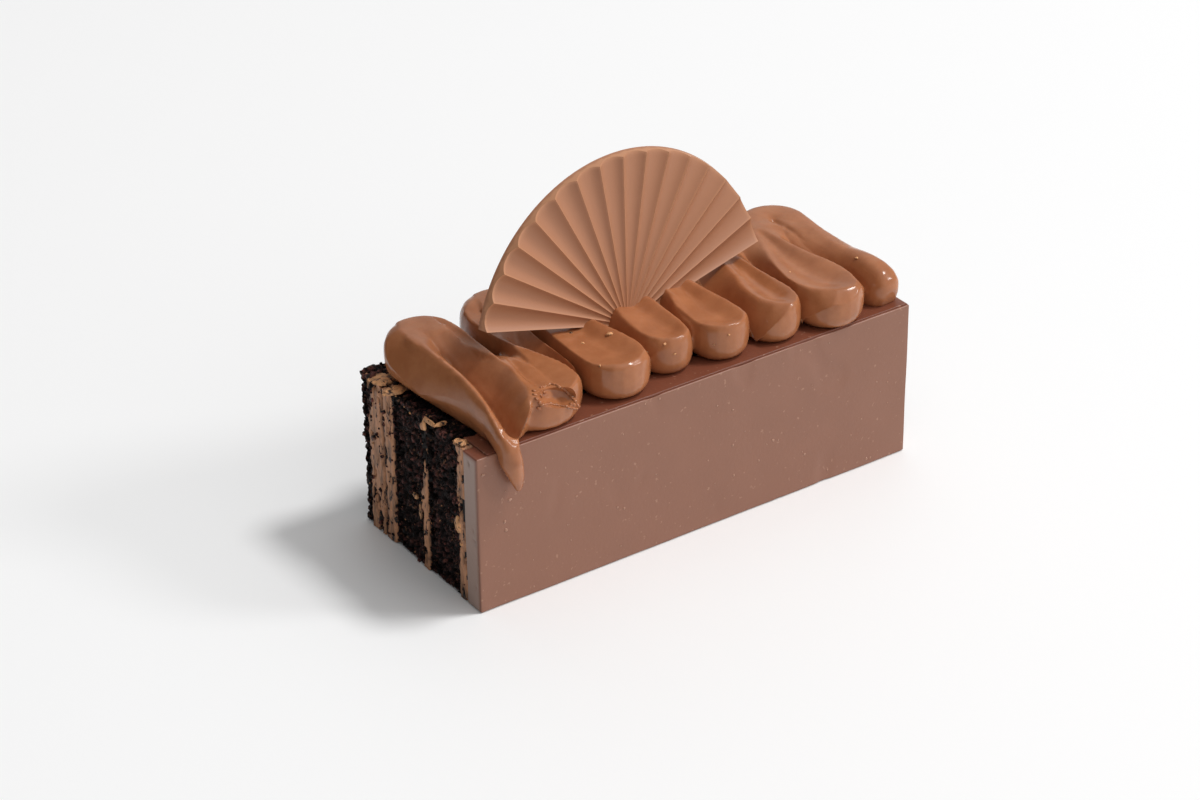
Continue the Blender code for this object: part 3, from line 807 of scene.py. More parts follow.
class CAKE_OT_slab(bpy.types.Operator):
    """Make the ganache slab on the front of the bar"""

    bl_idname = "cake.slab"
    bl_label = "Ganache Slab"

    CELLS = (0.8 * MM, 0.5 * MM, 0.7 * MM)
    EDGE_CELLS = 4
    # Relief of the poured skin, and the pits of its cut ends: how wide and how deep a lump is
    WAVE_WIDTH, WAVE_DEPTH = 14 * MM, 0.25 * MM
    DENT_WIDTH, DENT_DEPTH = 9 * MM, 0.2 * MM
    PIT_WIDTH, PIT_DEPTH = 1.3 * MM, 0.5 * MM
    # Where the painted grey reflection on the cut ends and the darker rim start and end, in from the front
    # and top edges
    END_REACH = 0.3 * MM
    CUT_INSET = (0.6 * MM, 1.4 * MM)
    RIM_INSET = (0.5 * MM, 1.2 * MM)
    TOP_RIM = (0.1 * MM, 0.3 * MM)
    FRONT_RIM = (0.2 * MM, 0.5 * MM)
    # The film on top of the bar: its left, front, right and back borders, its thickness, how deep it
    # sinks into the bar, and how far its back border wanders
    FILM_LEFT, FILM_FRONT, FILM_RIGHT, FILM_REACH = 3.0 * MM, 0.6 * MM, 0.4 * MM, 9.6 * MM
    FILM_THICKNESS = 0.2 * MM
    FILM_SINK = 0.3 * MM
    FILM_CELLS = (1.0 * MM, 0.8 * MM, 0.2 * MM)
    FILM_EDGES = ((0.5 * MM, 2), (0.5 * MM, 3), (0.2 * MM, 2))
    FILM_WANDER_WIDTH, FILM_WANDER = 5 * MM, 1.6 * MM
    FILM_ROUNDING = 0.6 * MM
    FILM_BORDER_SHARE = 0.2

    def execute(self, context):
        bar = context.scene.cake_bar
        low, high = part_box("ganache_slab")
        places = [
            stations(side, cell, bar.slab_edge, self.EDGE_CELLS)
            for side, cell in zip(high - low, self.CELLS)
        ]
        bm = layer_block(low, places)
        self.round_edges(bm, low, high, bar.slab_edge)
        spots = bmesh_places(bm)
        from_front = spots[:, 1] - low.y
        from_top = high.z - spots[:, 2]
        inset = np.minimum(from_front, from_top)
        at_end = np.abs(spots[:, 0]) > LENGTH / 2 - self.END_REACH
        cut_share = at_end * smooth_step(inset, *self.CUT_INSET)
        end_rim = at_end * (1 - smooth_step(inset, *self.RIM_INSET))
        rim_share = end_rim + 1 - smooth_step(from_top, *self.TOP_RIM)
        rim_share *= smooth_step(from_front, *self.FRONT_RIM)
        # The cut share also sets where the grey reflection is painted
        cut = bm.verts.layers.float.new("cut")
        rim = bm.verts.layers.float.new("rim")
        for vert, cut_here, rim_here in zip(bm.verts, cut_share, rim_share):
            vert[cut] = cut_here
            vert[rim] = min(rim_here, 1.0)
        waves = 0.5 + 0.5 * noise_at(spots, self.WAVE_WIDTH, seed=2.0)
        pits = smooth_step(noise_at(spots, self.PIT_WIDTH, seed=6.0), 0.5, 0.62) * cut_share
        slanted = spots * (1.0, 1.0, 0.6)
        dents = smooth_step(noise_at(slanted, self.DENT_WIDTH, seed=12.0), 0.35, 0.6) * (1 - cut_share)
        push_in(bm, self.WAVE_DEPTH * waves + self.PIT_DEPTH * pits + self.DENT_DEPTH * dents)
        finish = context.scene.cake_finish
        material = make_slab_material("poured_set_ganache", finish.slab, finish)
        add_piece("ganache_slab_skin", bm, material, ["ganache_slab"])
        self.add_film(finish)
        return {"FINISHED"}

    def add_film(self, finish):
        """Make the thin ganache that ran over the top of the bar behind the slab."""
        low = on_bar(self.FILM_LEFT, self.FILM_FRONT, HEIGHT - self.FILM_SINK)
        high = on_bar(LENGTH - self.FILM_RIGHT, self.FILM_REACH, HEIGHT + self.FILM_THICKNESS)
        size = high - low
        places = [
            stations(side, cell, *edge) for side, cell, edge in zip(size, self.FILM_CELLS, self.FILM_EDGES)
        ]
        bm = layer_block(low, places)
        spots = bmesh_places(bm)
        ripple = noise_at(spots * (1.0, 0.0, 0.0), self.FILM_WANDER_WIDTH, seed=3.0, octaves=3)
        inset = np.minimum(high.y - spots[:, 1], high.x - spots[:, 0])
        rounded = smooth_step(inset, 0.0, self.FILM_ROUNDING)
        for vert, wave, share in zip(bm.verts, ripple, rounded):
            depth = (vert.co.y - low.y) / size.y
            vert.co.y += self.FILM_WANDER * wave * depth
            if vert.co.z > HEIGHT:
                thickness = self.FILM_BORDER_SHARE + (1 - self.FILM_BORDER_SHARE) * share
                vert.co.z = HEIGHT + (vert.co.z - HEIGHT) * thickness
        material = make_slab_material("poured_ganache_film", finish.film, finish)
        add_piece("ganache_film", bm, material)

    def round_edges(self, bm, low, high, radius):
        """Round the block's edges by pulling its surface onto a ball rolled along them."""
        reach = Vector((radius, radius, radius))
        inner_low, inner_high = low + reach, high - reach
        for vert in bm.verts:
            core = Vector(
                min(max(value, least), most) for value, least, most in zip(vert.co, inner_low, inner_high)
            )
            away = vert.co - core
            if away.length > 0:
                vert.co = core + away.normalized() * radius


class CAKE_OT_bands(bpy.types.Operator):
    """Make the four bands of cream between the sponges"""

    bl_idname = "cake.bands"
    bl_label = "Cream Bands"

    CELL = 0.3 * MM
    # Relief besides the knife's drag marks: pits, of which the narrow band has a smaller share, the
    # crack between the wide and the narrow band, the torn border and the worn top of the thin band
    PIT_WIDTH, PIT_DEPTH = 2.4 * MM, 1.1 * MM
    NARROW_PIT_SHARE = 0.35
    CRACK_PLACE, CRACK_DEPTH = 39.9 * MM, 1.5 * MM
    CRACK_WANDER = 0.55 * MM
    CRACK_LEAST, CRACK_MORE, CRACK_RAMP = 0.25 * MM, 0.55 * MM, 0.15 * MM
    BORDER_WIDTH, BORDER_DEPTH = 0.7 * MM, 1.3 * MM
    BORDER_RAMP = 0.25 * MM
    WORN_WIDTH, WORN_DEPTH = 3.0 * MM, 1.4 * MM
    WORN_HEIGHTS = (0.55 * HEIGHT, 0.75 * HEIGHT)

    def execute(self, context):
        bar = context.scene.cake_bar
        finish = context.scene.cake_finish
        material = make_cream_material("whipped_chocolate_cream", finish.cream, finish)
        for number, name in enumerate(("front", "thin", "narrow", "wide")):
            low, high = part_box("cream_band_" + name)
            low.y -= bar.border
            high.y += bar.border
            bm = layer_block(low, layer_places(low, high, self.CELL))
            spots = bmesh_places(bm)
            drag = spots * (1.0, 1.0, 0.2)
            marks = noise_at(drag, 1.5 * MM, seed=5.0 + number, octaves=3)
            depths = bar.smear_depth * (0.5 + 0.5 * marks)
            slanted = spots * (1.0, 1.0, 0.45)
            pits = smooth_step(noise_at(slanted, self.PIT_WIDTH, seed=14.0 + number, octaves=4), 0.34, 0.5)
            depths += self.PIT_DEPTH * pits * (self.NARROW_PIT_SHARE if name == "narrow" else 1.0)
            depths += self.CRACK_DEPTH * self.crack(spots)
            border = np.minimum(spots[:, 1] - low.y, high.y - spots[:, 1])
            ragged = noise_at(spots * (1, 0.3, 1), 2.5 * MM, seed=9.0 + number, octaves=3)
            wander = self.BORDER_WIDTH * (1 + ragged)
            depths += self.BORDER_DEPTH * (1 - smooth_step(border, 0.0, self.BORDER_RAMP + wander))
            if name == "thin":
                worn = smooth_step(spots[:, 2], *self.WORN_HEIGHTS)
                patches = noise_at(spots, self.WORN_WIDTH, seed=17.0, octaves=2)
                depths += self.WORN_DEPTH * worn * smooth_step(patches, -0.35, 0.0)
            # How deep each place went also sets the cream material's painted shade
            push_in(bm, depths, bar.smear_depth + self.BORDER_DEPTH)
            add_piece("cream_smear_" + name, bm, material, ["cream_band_" + name])
        return {"FINISHED"}

    def crack(self, places):
        """How much each place lies in the wavy crack between the wide and the narrow band."""
        upright = places * (0.0, 0.0, 1.0)
        wander = self.CRACK_WANDER * noise_at(upright, 6.0 * MM, seed=3.0, octaves=2)
        middle = -DEPTH / 2 + self.CRACK_PLACE + wander
        opening = smooth_step(noise_at(upright, 3.2 * MM, seed=8.0, octaves=2), 0.0, 0.5)
        half = self.CRACK_LEAST + self.CRACK_MORE * opening
        return 1 - smooth_step(np.abs(places[:, 1] - middle), 0.6 * half, half + self.CRACK_RAMP)


class CAKE_OT_sponges(bpy.types.Operator):
    """Make the three dark sponges with their torn crumb"""

    bl_idname = "cake.sponges"
    bl_label = "Sponges"

    # Cells of the grid: across a sponge, up its cut ends, and along the bar, finer where the crumb shows
    CELL = 0.34 * MM
    END_CELL = 0.36 * MM
    SIDE_CELL, BACK_CELL = 1.6 * MM, 0.7 * MM
    # The depth that counts as deepest, over the crumb depth
    DEEPEST = 1.5
    # The crumb fades out over this height above the floor, except near the ends
    FOOT = 1.5 * MM
    END_FROM, END_TO = 2.5 * MM, 0.5 * MM
    END_SHARE = 0.8

    def execute(self, context):
        bar = context.scene.cake_bar
        material = make_sponge_material(context.scene.cake_finish)
        for number, name in enumerate(("front", "middle", "back")):
            low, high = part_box("sponge_" + name)
            low.y -= bar.border
            if name != "back":
                high.y += bar.border
            side_cell = self.BACK_CELL if name == "back" else self.SIDE_CELL
            places = layer_places(low, high, self.CELL, self.END_CELL, side_cell)
            bm = layer_block(low, places)
            spots = bmesh_places(bm)
            depths = crumb_height(spots, bar, seed=20.0 + 5.0 * number)
            at_end = smooth_step(np.abs(spots[:, 0]), LENGTH / 2 - self.END_FROM, LENGTH / 2 - self.END_TO)
            depths *= np.maximum(smooth_step(spots[:, 2], 0.0, self.FOOT), self.END_SHARE * at_end)
            push_in(bm, depths, self.DEEPEST * bar.crumb_depth)
            add_piece("sponge_crumb_" + name, bm, material, ["sponge_" + name])
        return {"FINISHED"}


class CAKE_OT_crumbs(bpy.types.Operator):
    """Make the loose crumbs and the smears of cream on the cut faces"""

    bl_idname = "cake.crumbs"
    bl_label = "Crumbs and Smears"

    # Smears of cream: distance from the left end and from the front face, height above the floor, and
    # reach along each axis
    SMEARS = in_metres(
        (2.2, 42.6, 40.0, 2.7, 3.6, 0.5),
        (1.8, 36.6, 40.0, 2.5, 2.3, 0.45),
        (0.9, 20.4, 39.8, 0.6, 2.7, 0.5),
        (2.3, 17.8, 40.0, 1.9, 0.6, 0.4),
        (0.6, 22.2, 38.2, 0.5, 0.7, 1.3),
        (1.4, 8.4, 40.1, 1.9, 1.5, 0.5),
        (0.6, 9.0, 18.8, 0.6, 1.7, 1.9),
        (0.9, 25.2, 14.0, 0.6, 0.6, 2.2),
        (0.9, 27.6, 17.0, 0.5, 1.2, 0.5),
    )
    # One crumb out of so many is of cream, and so much smaller than the others
    PALE_STEP = 9
    PALE_SIZE = 0.6
    # Scatters on the left end, the right end, the back, the top at the left and at the back, and the
    # upper corner at the back: which way the crumbs are cast, the box that they start from in
    # millimetres (from left, from front and height, low then high), their number, and their least and
    # greatest radius
    SCATTERS = (
        ((1, 0, 0), (-9, 7, 1, -9, 49.6, 39.6), 300, 0.2 * MM, 0.6 * MM),
        ((-1, 0, 0), (131, 7, 1, 131, 49.6, 39.6), 240, 0.2 * MM, 0.6 * MM),
        ((0, -1, 0), (1, 59, 1, 121, 59, 39.6), 420, 0.25 * MM, 0.75 * MM),
        ((0, 0, -1), (0.4, 10, 60, 4.5, 49.4, 60), 150, 0.25 * MM, 0.7 * MM),
        ((0, 0, -1), (1, 46.5, 60, 121, 49.6, 60), 130, 0.25 * MM, 0.8 * MM),
        ((0, 0, -1), (0.6, 45.0, 60, 6.0, 49.2, 60), 60, 0.45 * MM, 1.15 * MM),
    )
    CRUMB_ROUGHNESS = 0.6
    SMEAR_ROUGHNESS = 0.3
    SMEAR_SUBDIVISIONS = 4
    SEED = 41

    def execute(self, context):
        finish = context.scene.cake_finish
        draw = random.Random(self.SEED)
        names = [o.name for o in context.scene.objects if o.name.startswith(("cream_smear", "sponge_crumb"))]
        surfaces = surfaces_of(context, sorted(names))
        dark, pale = [], []
        for direction, box, count, least, greatest in self.SCATTERS:
            for number in range(count):
                start = on_bar(*(draw.uniform(box[axis], box[axis + 3]) * MM for axis in range(3)))
                radius = least + (greatest - least) * draw.random() ** 2
                place = cast_onto(surfaces, start, Vector(direction))
                reach = Vector((radius, radius, radius))
                if place is not None:
                    if number % self.PALE_STEP == 0:
                        pale.append((place, reach * self.PALE_SIZE))
                    else:
                        dark.append((place, reach))
        # The loose crumbs have no depth, so this material's painted light covers them all over, in patches
        sponge = make_sponge_material(finish)
        cream = make_cream_material("smeared_bright_cream", finish.fleck, finish)
        crumbs = scatter_lumps(dark, draw, roughness=self.CRUMB_ROUGHNESS)
        add_piece("loose_crumbs", crumbs, sponge)
        flecks = scatter_lumps(pale, draw, roughness=self.CRUMB_ROUGHNESS)
        add_piece("cream_flecks", flecks, cream)
        smears = [(on_bar(x, y, z), Vector(reach)) for x, y, z, *reach in self.SMEARS]
        dabs = scatter_lumps(smears, draw, self.SMEAR_SUBDIVISIONS, self.SMEAR_ROUGHNESS)
        add_piece("cream_smears", dabs, cream)
        return {"FINISHED"}


class CAKE_OT_piping(bpy.types.Operator):
    """Make the piped zigzag of soft ganache"""

    bl_idname = "cake.piping"
    bl_label = "Piped Ganache"

    # Section of the rope: its sides, how square it is, its height over its width above and below the
    # centre line, and that line's height over the rope's radius. Turns are divided into steps, and
    # straight strands at one spacing.
    SECTION_SIDES = 32
    SQUARENESS = 2.8
    STRETCH_UP = 1.5
    STRETCH_DOWN = 1.10
    AXIS_SHARE = 1.04
    TURN_STEPS = 10
    STRAND_STEP = 3.0 * MM
    # Smoothing of the skin, as factor and iterations: once when it is fused, and once when it has its
    # ridges
    FUSED_SMOOTHING = (0.5, 5)
    RIDGED_SMOOTHING = (0.4, 2)
    SHARP_ANGLE = math.radians(50)
    # Faint waves along the ridges
    WAVE_WIDTH, WAVE_HEIGHT = 6.0 * MM, 0.12 * MM
    # The crests turn from crisp to soft over these distances, towards the back and to the right
    SOFT_BACK = (8 * MM, 16 * MM)
    SOFT_RIGHT = (50 * MM, 53 * MM)
    GAP = 0.1 * MM
    BITE_ROUGHNESS = 0.08

    def execute(self, context):
        settings = context.scene.cake_piping
        bm = bmesh.new()
        self.sweep(bm, self.filled_line(TONGUE))
        self.tear_lip(bm)
        for line in (self.rope_line(), LOOP_FILL, TAIL_FOOT):
            self.sweep(bm, self.filled_line(line))
        material = make_piping_material(context.scene.cake_finish)
        piece = add_piece("piped_zigzag", bm, material, ["piped_ganache"])
        self.fuse(piece, settings.voxel)
        places = vertex_places(piece.data)
        self.shape_top(places, settings)
        self.rest_on_bar(places)
        set_vertex_places(piece.data, places)
        self.soften(piece, *self.RIDGED_SMOOTHING)
        self.tear_bite(piece)
        piece.data.materials.clear()
        piece.data.materials.append(material)
        piece.data.shade_smooth()
        piece.data.set_sharp_from_angle(angle=self.SHARP_ANGLE)
        return {"FINISHED"}

    def rope_line(self):
        """The whole zigzag from the hanging tail to the last end."""
        line = list(TAIL)
        for number, back_turn in enumerate(BACK_TURNS):
            line += self.turn_points(back_turn, 1)
            if number < len(FRONT_TURNS):
                line += self.turn_points(FRONT_TURNS[number], -1)
        line += LAST_END
        return line

    def turn_points(self, turn, side):
        """The centre line round one turn, left to right. Side is -1 at the front and 1 at the back."""
        from_left, from_front, half, radius = turn
        points = []
        for step in range(self.TURN_STEPS + 1):
            angle = math.pi * (1 - step / self.TURN_STEPS)
            x = from_left + half * math.cos(angle)
            y = from_front + side * half * (math.sin(angle) - 1)
            points.append((x, y, radius * self.AXIS_SHARE, radius))
        return points

    def filled_line(self, line):
        """The same line with more points, so that its steps are about as long as the strand step."""
        filled = [line[0]]
        for after in line[1:]:
            before = filled[-1]
            count = max(1, round(math.dist(before[:3], after[:3]) / self.STRAND_STEP))
            for step in range(1, count + 1):
                share = step / count
                filled.append(tuple(b + (a - b) * share for a, b in zip(after, before)))
        return filled

    def sweep(self, bm, line):
        """Set a ring at each point of a line, and bridge each ring to the next one."""
        centres = [on_bar(x, y, HEIGHT + above) for x, y, above, _ in line]
        rings = []
        for number, (centre, (_, _, _, radius)) in enumerate(zip(centres, line)):
            ahead = centres[min(number + 1, len(line) - 1)] - centres[max(number - 1, 0)]
            side = ahead.cross(Vector((0, 0, 1))).normalized()
            up = side.cross(ahead).normalized()
            circle = bmesh.ops.create_circle(bm, cap_ends=False, radius=1.0, segments=self.SECTION_SIDES)
            ring = circle["verts"]
            for vert in ring:
                across, rise = self.section(vert.co.x, vert.co.y)
                vert.co = centre + side * across * radius + up * rise * radius
            rings.append(ring)
        edge_rings = [list({e for v in ring for e in v.link_edges}) for ring in rings]
        for before, after in zip(edge_rings, edge_rings[1:]):
            bmesh.ops.bridge_loops(bm, edges=before + after)
        for ring in (edge_rings[0], edge_rings[-1]):
            bmesh.ops.contextual_create(bm, geom=ring)
        bmesh.ops.recalc_face_normals(bm, faces=bm.faces)

    def tear_lip(self, bm):
        """Cut the tongue off along the plane of its lip."""
        cut = bmesh.ops.bisect_plane(
            bm,
            geom=bm.verts[:] + bm.edges[:] + bm.faces[:],
            plane_co=on_bar(*LIP_POINT),
            plane_no=LIP_FACING,
            clear_outer=True,
        )["geom_cut"]
        rim = [part for part in cut if isinstance(part, bmesh.types.BMEdge)]
        bmesh.ops.contextual_create(bm, geom=rim)

    def tear_bite(self, piece):
        """Scoop the bite out of the first loop."""
        bm = bmesh.new()
        bmesh.ops.create_icosphere(bm, subdivisions=5, radius=1.0)
        spots = bmesh_places(bm)
        for vert, ripple in zip(bm.verts, noise_at(spots, 0.7, seed=4.0, octaves=2)):
            vert.co *= 1 + self.BITE_ROUGHNESS * ripple
        tilt = Matrix.Rotation(BITE_TILT, 4, "Y")
        bm.transform(Matrix.Translation(on_bar(*BITE_MIDDLE)) @ tilt @ Matrix.Diagonal((*BITE_REACH, 1.0)))
        mesh = bpy.data.meshes.new("bite")
        bm.to_mesh(mesh)
        bm.free()
        cutter = bpy.data.objects.new("bite", mesh)
        bpy.context.scene.collection.objects.link(cutter)
        bite = piece.modifiers.new("bite", "BOOLEAN")
        bite.operation = "DIFFERENCE"
        bite.solver = "EXACT"
        bite.object = cutter
        self.apply_modifiers(piece)
        bpy.data.objects.remove(cutter)
        bpy.data.meshes.remove(mesh)

    def section(self, across, rise):
        """Push a point of a circle out onto the rope's rounded square."""
        power = self.SQUARENESS
        reach = (abs(across) ** power + abs(rise) ** power) ** (-1 / power)
        stretch = self.STRETCH_UP if rise > 0 else self.STRETCH_DOWN
        return across * reach, rise * reach * stretch

    def fuse(self, piece, voxel):
        """Melt the overlapping strands into one skin. A bmesh operator can't do this."""
        remesh = piece.modifiers.new("fuse", "REMESH")
        remesh.mode = "VOXEL"
        remesh.voxel_size = voxel
        self.soften(piece, *self.FUSED_SMOOTHING)

    def soften(self, piece, factor, iterations):
        """Smooth the skin, after any modifier that the piece already has."""
        smooth = piece.modifiers.new("soften", "SMOOTH")
        smooth.factor = factor
        smooth.iterations = iterations
        self.apply_modifiers(piece)

    def apply_modifiers(self, piece):
        """Replace a piece's mesh by what its modifiers make of it."""
        graph = bpy.context.evaluated_depsgraph_get()
        mesh = bpy.data.meshes.new_from_object(piece.evaluated_get(graph))
        piece.modifiers.clear()
        piece.data = mesh

    def shape_top(self, places, settings):
        """Lower the top of the rope to the ridges, troughs and creases."""
        flat = places[:, :2]
        ridge_away, ridge_height = self.nearest_line(flat, FINGER_RIDGES + OPEN_RIDGES)
        trough_away, trough_height = self.nearest_line(flat, TROUGHS)
        crease_away, crease_height = self.nearest_line(flat, CREASES)
        share = trough_away / (trough_away + ridge_away)
        hollow = trough_height + (ridge_height - trough_height) * smooth_step(share, 0.0, 1.0)
        share = crease_away / (crease_away + ridge_away)
        bulge = 0.5 * share + 0.5 * (1 - (1 - share) ** 2)
        flank = crease_height + (ridge_height - crease_height) * bulge
        top = np.where(self.in_finger(flat), hollow, flank)
        top += self.WAVE_HEIGHT * noise_at(places * (1.0, 0.5, 0.3), self.WAVE_WIDTH, seed=31.0)
        soft = smooth_step(places[:, 1], *self.SOFT_BACK) + smooth_step(places[:, 0], *self.SOFT_RIGHT)
        width = settings.crest_radius + settings.soft_radius * np.minimum(soft, 1.0)
        places[:, 2] = smooth_min(places[:, 2], top, width)

    def line_corners(self, line):
        """The corners of a line on the piping, in the cake's own frame."""
        return [np.array(on_bar(*(value * MM for value in corner))) for corner in line]

    def nearest_line(self, points, lines):
        """How far each flat point lies from the nearest of some lines, and that line's height there."""
        distance = np.full(len(points), np.inf)
        height = np.zeros(len(points))
        for line in lines:
            corners = self.line_corners(line)
            if line in FINGER_RIDGES:
                corners.append(corners[0])
            for start, end in zip(corners, corners[1:]):
                along = end - start
                share = np.clip((points - start[:2]) @ along[:2] / (along[:2] @ along[:2]), 0.0, 1.0)
                foot = start + share[:, None] * along
                away = np.linalg.norm(points - foot[:, :2], axis=1)
                nearer = away < distance
                distance[nearer] = away[nearer]
                height[nearer] = foot[nearer, 2]
        return distance, height

    def in_finger(self, points):
        """Which flat points lie within the ridge of any finger."""
        inside = np.zeros(len(points), dtype=bool)
        for line in FINGER_RIDGES:
            within = np.zeros(len(points), dtype=bool)
            corners = self.line_corners(line)
            for start, end in zip(corners, corners[1:] + corners[:1]):
                if start[1] == end[1]:
                    continue
                crosses = (start[1] > points[:, 1]) != (end[1] > points[:, 1])
                share = (points[:, 1] - start[1]) / (end[1] - start[1])
                within ^= crosses & (points[:, 0] < start[0] + share * (end[0] - start[0]))
            inside |= within
        return inside

    def rest_on_bar(self, places):
        """Move what would sink into the bar onto its top or its front face, whichever is nearer."""
        front = -DEPTH / 2 - self.GAP
        top = HEIGHT + self.GAP
        deep = np.maximum(places[:, 1] - front, 0.0)
        low = np.maximum(top - places[:, 2], 0.0)
        inside = (deep > 0) & (low > 0)
        up = inside & (low <= deep)
        out = inside & (low > deep)
        places[up, 2] = top
        places[out, 1] = front


class CAKE_OT_flecks(bpy.types.Operator):
    """Make the flecks of cream, partly painted highlights, the torn edges and the specks on the ganache"""

    bl_idname = "cake.flecks"
    bl_label = "Flecks and Torn Edges"

    # Bright flecks on the piping: partly flecks of cream, partly painted highlights on its glossy skin
    # Where the photo shows each fleck: a point on the line of sight, in millimetres from the left end,
    # from the front face and above the floor, and the fleck's reach along each axis
    CREAM_AND_HIGHLIGHT_FLECKS = (
        ((37.8, 3.0, 57.9), (1.1, 0.6, 0.35)),
        ((30.5, 3.0, 58.0), (0.4, 0.4, 0.2)),
        ((27.4, 3.0, 61.5), (0.35, 0.35, 0.2)),
        ((35.0, 3.0, 50.7), (0.3, 0.2, 0.3)),
        ((52.8, 3.0, 50.5), (0.45, 0.35, 0.25)),
        ((55.6, 3.0, 47.0), (0.3, 0.2, 0.3)),
        ((70.8, 3.0, 47.0), (0.4, 0.3, 0.3)),
        ((66.6, 3.0, 45.8), (0.25, 0.2, 0.2)),
        ((48.1, 3.0, 50.0), (0.25, 0.2, 0.2)),
        ((88.1, 3.0, 57.8), (0.25, 0.2, 0.2)),
        ((107.7, 3.0, 55.4), (0.5, 0.5, 0.3)),
    )
    # Torn edges of the first loop, as lines that the photo shows, and single torn bits beside them, all
    # given in the same way, with their ragged reach
    TEARS = (
        (
            (
                (17.9, 1.0, 51.8), (19.2, 1.0, 51.8), (20.5, 1.0, 51.9), (21.9, 1.0, 51.2),
                (22.9, 1.0, 50.3), (24.0, 1.0, 49.5), (25.0, 1.0, 48.1), (26.0, 1.0, 46.8),
                (26.8, 1.0, 45.5), (27.6, 1.0, 44.2), (28.1, 1.0, 43.2),
            ),
            (0.4, 0.35, 0.32),
        ),
        (
            ((17.8, 1.0, 47.5), (20.2, 1.0, 47.0), (22.6, 1.0, 45.9), (24.9, 1.0, 44.6), (27.3, 1.0, 43.3)),
            (0.5, 0.45, 0.3),
        ),
    )
    TORN_BITS = (
        (16.3, 1.0, 50.6), (16.8, 1.0, 49.4), (17.9, 1.0, 49.8), (18.7, 1.0, 50.3), (17.6, 1.0, 48.1),
        (17.3, 1.0, 46.9), (25.7, 1.0, 45.1), (27.1, 1.0, 45.4), (26.5, 1.0, 44.6), (16.1, 1.0, 51.6),
    )
    BIT_REACH = (0.5, 0.4, 0.45)
    TEAR_STEP = 0.45
    SPECKS = (
        ((70.0, 0.0, 19.6), (0.35, 0.15, 0.3)), ((81.7, 0.0, 16.9), (0.4, 0.15, 0.35)),
        ((69.9, 0.0, 29.0), (0.3, 0.15, 0.25)), ((8.4, 0.0, 27.0), (0.6, 0.2, 0.35)),
        ((7.2, 0.0, 19.6), (0.5, 0.2, 0.5)), ((6.9, 0.0, 21.8), (0.4, 0.2, 0.5)),
        ((1.6, 0.0, 35.8), (0.5, 0.2, 0.4)),
    )
    # Further specks of chance size and place on the slab's face
    LOOSE_SPECKS = 46
    SPECK_SIZES = (0.12, 0.3)
    SPECK_THICKNESS = 0.1
    SPECK_LEFT, SPECK_RIGHT, SPECK_LOW, SPECK_HIGH = 1.0, 121.0, 1.0, 39.0
    SEED = 17

    def execute(self, context):
        finish = context.scene.cake_finish
        draw = random.Random(self.SEED)
        surfaces = surfaces_of(context, ("piped_zigzag", "ganache_slab_skin"))
        specks = list(self.SPECKS)
        for _ in range(self.LOOSE_SPECKS):
            size = draw.uniform(*self.SPECK_SIZES)
            from_left = draw.uniform(self.SPECK_LEFT, self.SPECK_RIGHT)
            height = draw.uniform(self.SPECK_LOW, self.SPECK_HIGH)
            specks.append(((from_left, 0.0, height), (size, self.SPECK_THICKNESS, size)))
        tears = [(point, reach) for line, reach in self.TEARS for point in self.line_steps(line)]
        tears += [(point, self.BIT_REACH) for point in self.TORN_BITS]
        piping = make_piping_material(finish)
        cream = make_cream_material("bright_cream_flecks", finish.fleck, finish)
        slab = make_slab_material("fat_specked_ganache", finish.slab_light, finish)
        for name, places, material, slot in (
            ("piping_flecks", self.CREAM_AND_HIGHLIGHT_FLECKS, cream, "cream"),
            ("torn_edges", tears, piping, "piping"),
            ("slab_specks", specks, slab, "ganache"),
        ):
            lumps = []
            for point, reach in places:
                aim = on_bar(*(value * MM for value in point)) - Vector(CAMERA_PLACE)
                found = cast_onto(surfaces, Vector(CAMERA_PLACE), aim.normalized())
                if found is not None:
                    lumps.append((found, Vector(reach) * MM))
            add_piece(name, scatter_lumps(lumps, draw), material)
        return {"FINISHED"}

    def line_steps(self, line):
        """Points along a line at one spacing."""
        points = [line[0]]
        for before, after in zip(line, line[1:]):
            count = max(1, round(math.dist(before, after) / self.TEAR_STEP))
            for step in range(1, count + 1):
                points.append(tuple(b + (a - b) * step / count for a, b in zip(after, before)))
        return points


